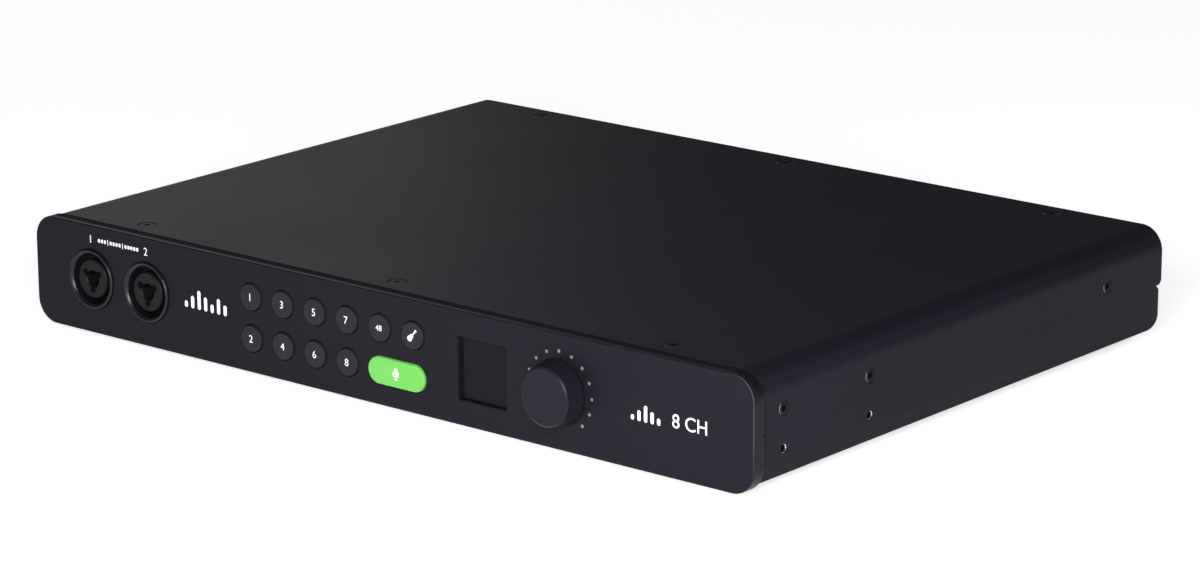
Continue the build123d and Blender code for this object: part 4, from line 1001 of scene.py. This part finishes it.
for name in ROUND_BUTTONS:
    x, z = middle_of(name)
    cap_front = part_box(name)[0].y
    cap = [
        (0, 0, 0),
        (BUTTON_RADIUS, 0, BUTTON_EDGE),
        (BUTTON_RADIUS, CAP_LENGTH, 0),
        (BUTTON_RADIUS + PILL_FLANGE, CAP_LENGTH, 0),
        (BUTTON_RADIUS + PILL_FLANGE, CAP_LENGTH + FLANGE_THICKNESS, 0),
        (0, CAP_LENGTH + FLANGE_THICKNESS, 0),
    ]
    bm = spun(bmesh.new(), cap, (x, cap_front, z), steps=64)
    place_piece(f"{name}_cap", button_stem(bm, name, x, z), name, "button_black", BUTTON_FINISH, name)
    if name.startswith("channel"):
        lettering(f"{name}_mark", name[-1], x, z, MARK_HEIGHT, cap_front, name)
figure_place = (*middle_of("phantom_button"), FIGURE_HEIGHT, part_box("phantom_button")[0].y)
lettering("phantom_mark", "48", *figure_place, "phantom_button")


def drawing(name, shapes, x, z, turn, face, body):
    """Prints rounded bars and discs, given as (x, z, width, height) in mm, turned together."""
    bm = bmesh.new()
    for index, (left, up, width, height) in enumerate(shapes):
        curve = flat_curve(8)
        rounded_outline(curve, left * MM, up * MM, width * MM, height * MM, min(width, height) * MM / 2)
        tag(bm, plate(curve, -INK_LIFT * (0.5 + 0.04 * index), INK_LIFT * 0.5, 0.002 * MM, 0))
    place = Matrix.Translation((x, face - INK_LIFT / 2, z)) @ Matrix.Rotation(turn, 4, "Y")
    bmesh.ops.transform(bm, matrix=place, verts=bm.verts)
    return place_piece(name, bm, body, None, INK)


GUITAR_TURN = math.radians(42)
guitar = [(0, -1.55, 2.3, 2.3), (0, -0.2, 1.7, 1.7), (0, 1.4, 0.55, 3.0), (0, 2.75, 1.0, 1.0)]
guitar_place = (*middle_of("instrument_button"), GUITAR_TURN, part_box("instrument_button")[0].y)
drawing("instrument_mark", guitar, *guitar_place, "instrument_button")

pill_curve = flat_curve(16)
rounded_outline(pill_curve, PILL_X, PILL_Z, PILL_LENGTH, 2 * BUTTON_RADIUS, BUTTON_RADIUS)
pill = plate(pill_curve, pill_low.y, FACE + FLANGE_BACK, BUTTON_EDGE, 3)
flange_curve = flat_curve(16)
flange_size = (PILL_LENGTH + 2 * PILL_FLANGE, 2 * (BUTTON_RADIUS + PILL_FLANGE))
rounded_outline(flange_curve, PILL_X, PILL_Z, *flange_size, BUTTON_RADIUS + PILL_FLANGE)
flange_front = FACE + FLANGE_BACK - FLANGE_THICKNESS
tag(pill, plate(flange_curve, flange_front, FACE + FLANGE_BACK + 0.02 * MM, 0.1 * MM, 0))
button_stem(pill, "auto_gain_button", PILL_X, PILL_Z)
place_piece("auto_gain_cap", pill, "auto_gain_button", "pill_green", PILL_FINISH, "auto_gain_button")
microphone = [
    (0, 0.9, 1.7, 2.9),
    (0, -1.35, 0.5, 1.6),
    (0, -2.1, 1.9, 0.45),
    (-1.35, 0.15, 0.4, 1.5),
    (1.35, 0.15, 0.4, 1.5),
    (0, -0.8, 2.6, 0.42),
]
drawing("auto_gain_mark", microphone, PILL_X, PILL_Z, 0, pill_low.y, "auto_gain_button")


# ---------------------------------------------------------------------------
# Display window: a sheet of smoked acrylic behind its opening in the panel, glossy, with a
# raised middle that fills part of the opening, over a display that is off.
# ---------------------------------------------------------------------------

GLASS_RECESS = 1.9 * MM

acrylic = Recipe("smoked_acrylic", Specular_IOR_Level=0.06, Specular_Tint=(0.9, 0.88, 1, 1))
haze = acrylic.noise(18 * MM, 3)
smear = acrylic.noise(3 * MM, 4, (1, 1, 0.3))
ACRYLIC = acrylic.feed(
    Base_Color=acrylic.mix(haze, (0.0052, 0.005, 0.0072), (0.0065, 0.0062, 0.009)),
    Roughness=0.12 + smear * 0.08,
    Normal=acrylic.bump(haze, 0.01 * MM),
)
glass_curve = flat_curve()
glass_size = (glass_high.x - glass_low.x, glass_high.z - glass_low.z)
rounded_outline(glass_curve, DISPLAY_X, DISPLAY_Z, *glass_size, 0.8 * MM)
glass = plate(glass_curve, glass_low.y, glass_high.y, 0.1 * MM, 1)
step_curve = flat_curve()
step_size = [side - 2 * CLEARANCE for side in DISPLAY_SIZE]
rounded_outline(step_curve, DISPLAY_X, DISPLAY_Z, *step_size, 0.5 * MM)
tag(glass, plate(step_curve, FACE + GLASS_RECESS, glass_low.y + 0.15 * MM, 0.1 * MM, 1))
place_piece("display_glass", glass, "case", "display_glass", ACRYLIC, "display_window")


# ---------------------------------------------------------------------------
# Rotary control: a tapered knob turned from aluminium and anodised, on a shaft that turns
# and pushes in. Thirteen clear light pipes end flush with the panel round it.
# ---------------------------------------------------------------------------

KNOB_FRONT = 11.3 * MM
KNOB_BACK = 12.6 * MM
KNOB_EDGE = 0.7 * MM
KNOB_BORE = 3.1 * MM
HUB_RADIUS = 8 * MM
HUB_HOLLOW = 3 * MM
KNOB_FACE = 2 * MM
PIPE_RADIUS = 0.7 * MM


def turned_black(name, shade, roughness, centre_x, centre_z):
    """Black anodised turning: fine rings left by the tool round an axis along Y."""
    recipe = Recipe(name, Specular_IOR_Level=0.12, Specular_Tint=(0.9, 0.88, 1, 1))
    across = recipe.along("X") - centre_x
    up = recipe.along("Z") - centre_z
    radius = (across * across + up * up).power(0.5)
    vector = recipe.node("ShaderNodeCombineXYZ", {}, {0: radius * 2600.0})
    rings = recipe.node("ShaderNodeTexNoise", {}, {"Vector": vector, "Scale": 1.0, "Detail": 2.0})
    cloud = recipe.noise(8 * MM, 3)
    dark = (shade, 0.93 * shade, 1.4 * shade)
    colour = recipe.mix(rings, dark, tuple(1.5 * part for part in dark))
    rough = roughness + (rings - 0.5) * 0.16 + (cloud - 0.5) * 0.1
    return recipe.feed(Base_Color=colour, Roughness=rough, Normal=recipe.bump(rings, 0.012 * MM))


KNOB_FINISH = turned_black("knob_turned", 0.0075, 0.4, KNOB_X, KNOB_Z)
knob_low, knob_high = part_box("encoder_knob")
knob_length = knob_high.y - knob_low.y
knob_profile = [
    (0, 0.02 * MM, 0),
    (KNOB_FRONT - KNOB_EDGE, 0, 0.12 * MM),
    (KNOB_FRONT + 0.08 * KNOB_EDGE, KNOB_EDGE, 0.15 * MM),
    (KNOB_BACK, knob_length, 0.2 * MM),
    (HUB_RADIUS, knob_length, 0),
    (HUB_RADIUS, knob_length - HUB_HOLLOW, 0),
    (KNOB_BORE, knob_length - HUB_HOLLOW, 0),
    (KNOB_BORE, KNOB_FACE, 0),
    (0, KNOB_FACE, 0),
]
knob = spun(bmesh.new(), knob_profile, (KNOB_X, knob_low.y, KNOB_Z), steps=128)
place_piece("knob", knob, "encoder_dial", "knob_black", KNOB_FINISH, "encoder_knob")

pipes = bmesh.new()
pipe_low, pipe_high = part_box("dial_light_pipes")
pipe_length = pipe_high.y - pipe_low.y
for x, z in DOT_SPOTS:
    pipe = [(0, 0, 0), (PIPE_RADIUS, 0, 0.12 * MM), (PIPE_RADIUS, pipe_length, 0), (0, pipe_length, 0)]
    spun(pipes, pipe, (x, pipe_low.y, z), steps=24)
PIPE = moulded("light_pipe", (0.13, 0.115, 0.12), 0.22)
place_piece("dial_dots", pipes, "case", "light_pipe", PIPE, "dial_light_pipes")


# ---------------------------------------------------------------------------
# Printed marks on the panel: input numbers and a scale of ticks over the sockets, two plain
# rows of level bars, and a channel count at the right.
# ---------------------------------------------------------------------------

LABEL_Z = MIDDLE_Z + 16.4 * MM
for number, x in enumerate(FRONT_JACKS, start=1):
    lettering(f"input_{number}_mark", str(number), x, LABEL_Z, 3.1 * MM, FACE, "case")
between = sum(FRONT_JACKS) / 2
TICK_STEP = 1.65
TICK_START = -10.6
TICKS = {".": (1.2, 1.6), "|": (0.35, 2.4)}
scale = enumerate("...|....|.....")
ticks = [(TICK_START + index * TICK_STEP, 0, *TICKS[kind]) for index, kind in scale]
drawing("input_scale", ticks, between, LABEL_Z, 0, FACE, "case")


def level_bars(name, heights, left, base, width, step):
    """A generic level meter: upright rounded bars of several heights on one line."""
    shapes = [(index * step, height / 2, width, height) for index, height in enumerate(heights)]
    return drawing(name, shapes, left, base, 0, FACE, "case")


level_bars("left_mark", (2.6, 5.0, 7.6, 5.6, 3.4, 6.2, 4.2), -97.2 * MM, MIDDLE_Z - 2.0 * MM, 1.7, 3.5)
level_bars("right_mark", (2.0, 4.0, 6.2, 4.4, 2.6), 126.5 * MM, MIDDLE_Z - 3.6 * MM, 1.5, 3.0)
lettering("channel_count", "8 CH", 152.5 * MM, MIDDLE_Z - 0.4 * MM, 5.2 * MM, FACE, "case")


# ---------------------------------------------------------------------------
# Studio: a white sheet under a plain white surround, three soft lights at the back left,
# front right and back right, and a long lens.
# ---------------------------------------------------------------------------

STAND = Vector((0, panel_low.y, panel_low.z))
EYE = STAND + Vector((1065.64, -1138.49, 479.17)) * MM
AIM = STAND + Vector((11.14, 120.0, 21.58)) * MM
ROLL = math.radians(-0.2549)

camera_data = bpy.data.cameras.new("camera")
camera_data.lens = 130.427
camera_data.sensor_width = 36
camera_data.clip_start = 0.05
camera = bpy.data.objects.new("camera", camera_data)
towards = (AIM - EYE).to_track_quat("-Z", "Y").to_matrix().to_4x4()
camera.matrix_world = Matrix.Translation(EYE) @ towards @ Matrix.Rotation(ROLL, 4, "Z")
bpy.context.scene.collection.objects.link(camera)
bpy.context.scene.camera = camera

world = bpy.data.worlds.new("studio")
world.use_nodes = True
world.node_tree.nodes["Background"].inputs[0].default_value = (0.93, 0.93, 1, 1)
world.node_tree.nodes["Background"].inputs[1].default_value = 0.15
bpy.context.scene.world = world
bpy.context.scene.view_settings.view_transform = "Standard"

floor_mesh = bmesh.new()
bmesh.ops.create_grid(floor_mesh, x_segments=1, y_segments=1, size=6)
mesh = bpy.data.meshes.new("floor")
floor_mesh.to_mesh(mesh)
floor_mesh.free()
floor = bpy.data.objects.new("floor", mesh)
bpy.context.scene.collection.objects.link(floor)
paper = Recipe("floor_paper", Specular_IOR_Level=0.1, Roughness=0.9)
paper.shader.inputs["Emission Color"].default_value = (1, 1, 1, 1)
paper.shader.inputs["Emission Strength"].default_value = 0.72
fibre = paper.noise(3 * MM, 2)
mesh.materials.append(paper.feed(Base_Color=paper.mix(fibre, (0.93, 0.93, 0.93), (0.95, 0.95, 0.95))))


def soft_light(name, spot, aim, size, power):
    """A square area light that faces a point."""
    data = bpy.data.lights.new(name, "AREA")
    data.size = size
    data.energy = power
    light = bpy.data.objects.new(name, data)
    turn = (Vector(aim) - Vector(spot)).to_track_quat("-Z", "Y").to_matrix().to_4x4()
    light.matrix_world = Matrix.Translation(spot) @ turn
    bpy.context.scene.collection.objects.link(light)


soft_light("back_left", (-1.35, 0.8, 0.5), (-0.1, 0, 0), 0.9, 1.9)
soft_light("front_right", (0.42, -0.62, 0.26), (0.16, 0, 0), 0.35, 7.0)
soft_light("back_right", (0.85, 0.85, 0.62), (0.18, 0.05, 0.03), 0.4, 1.0)
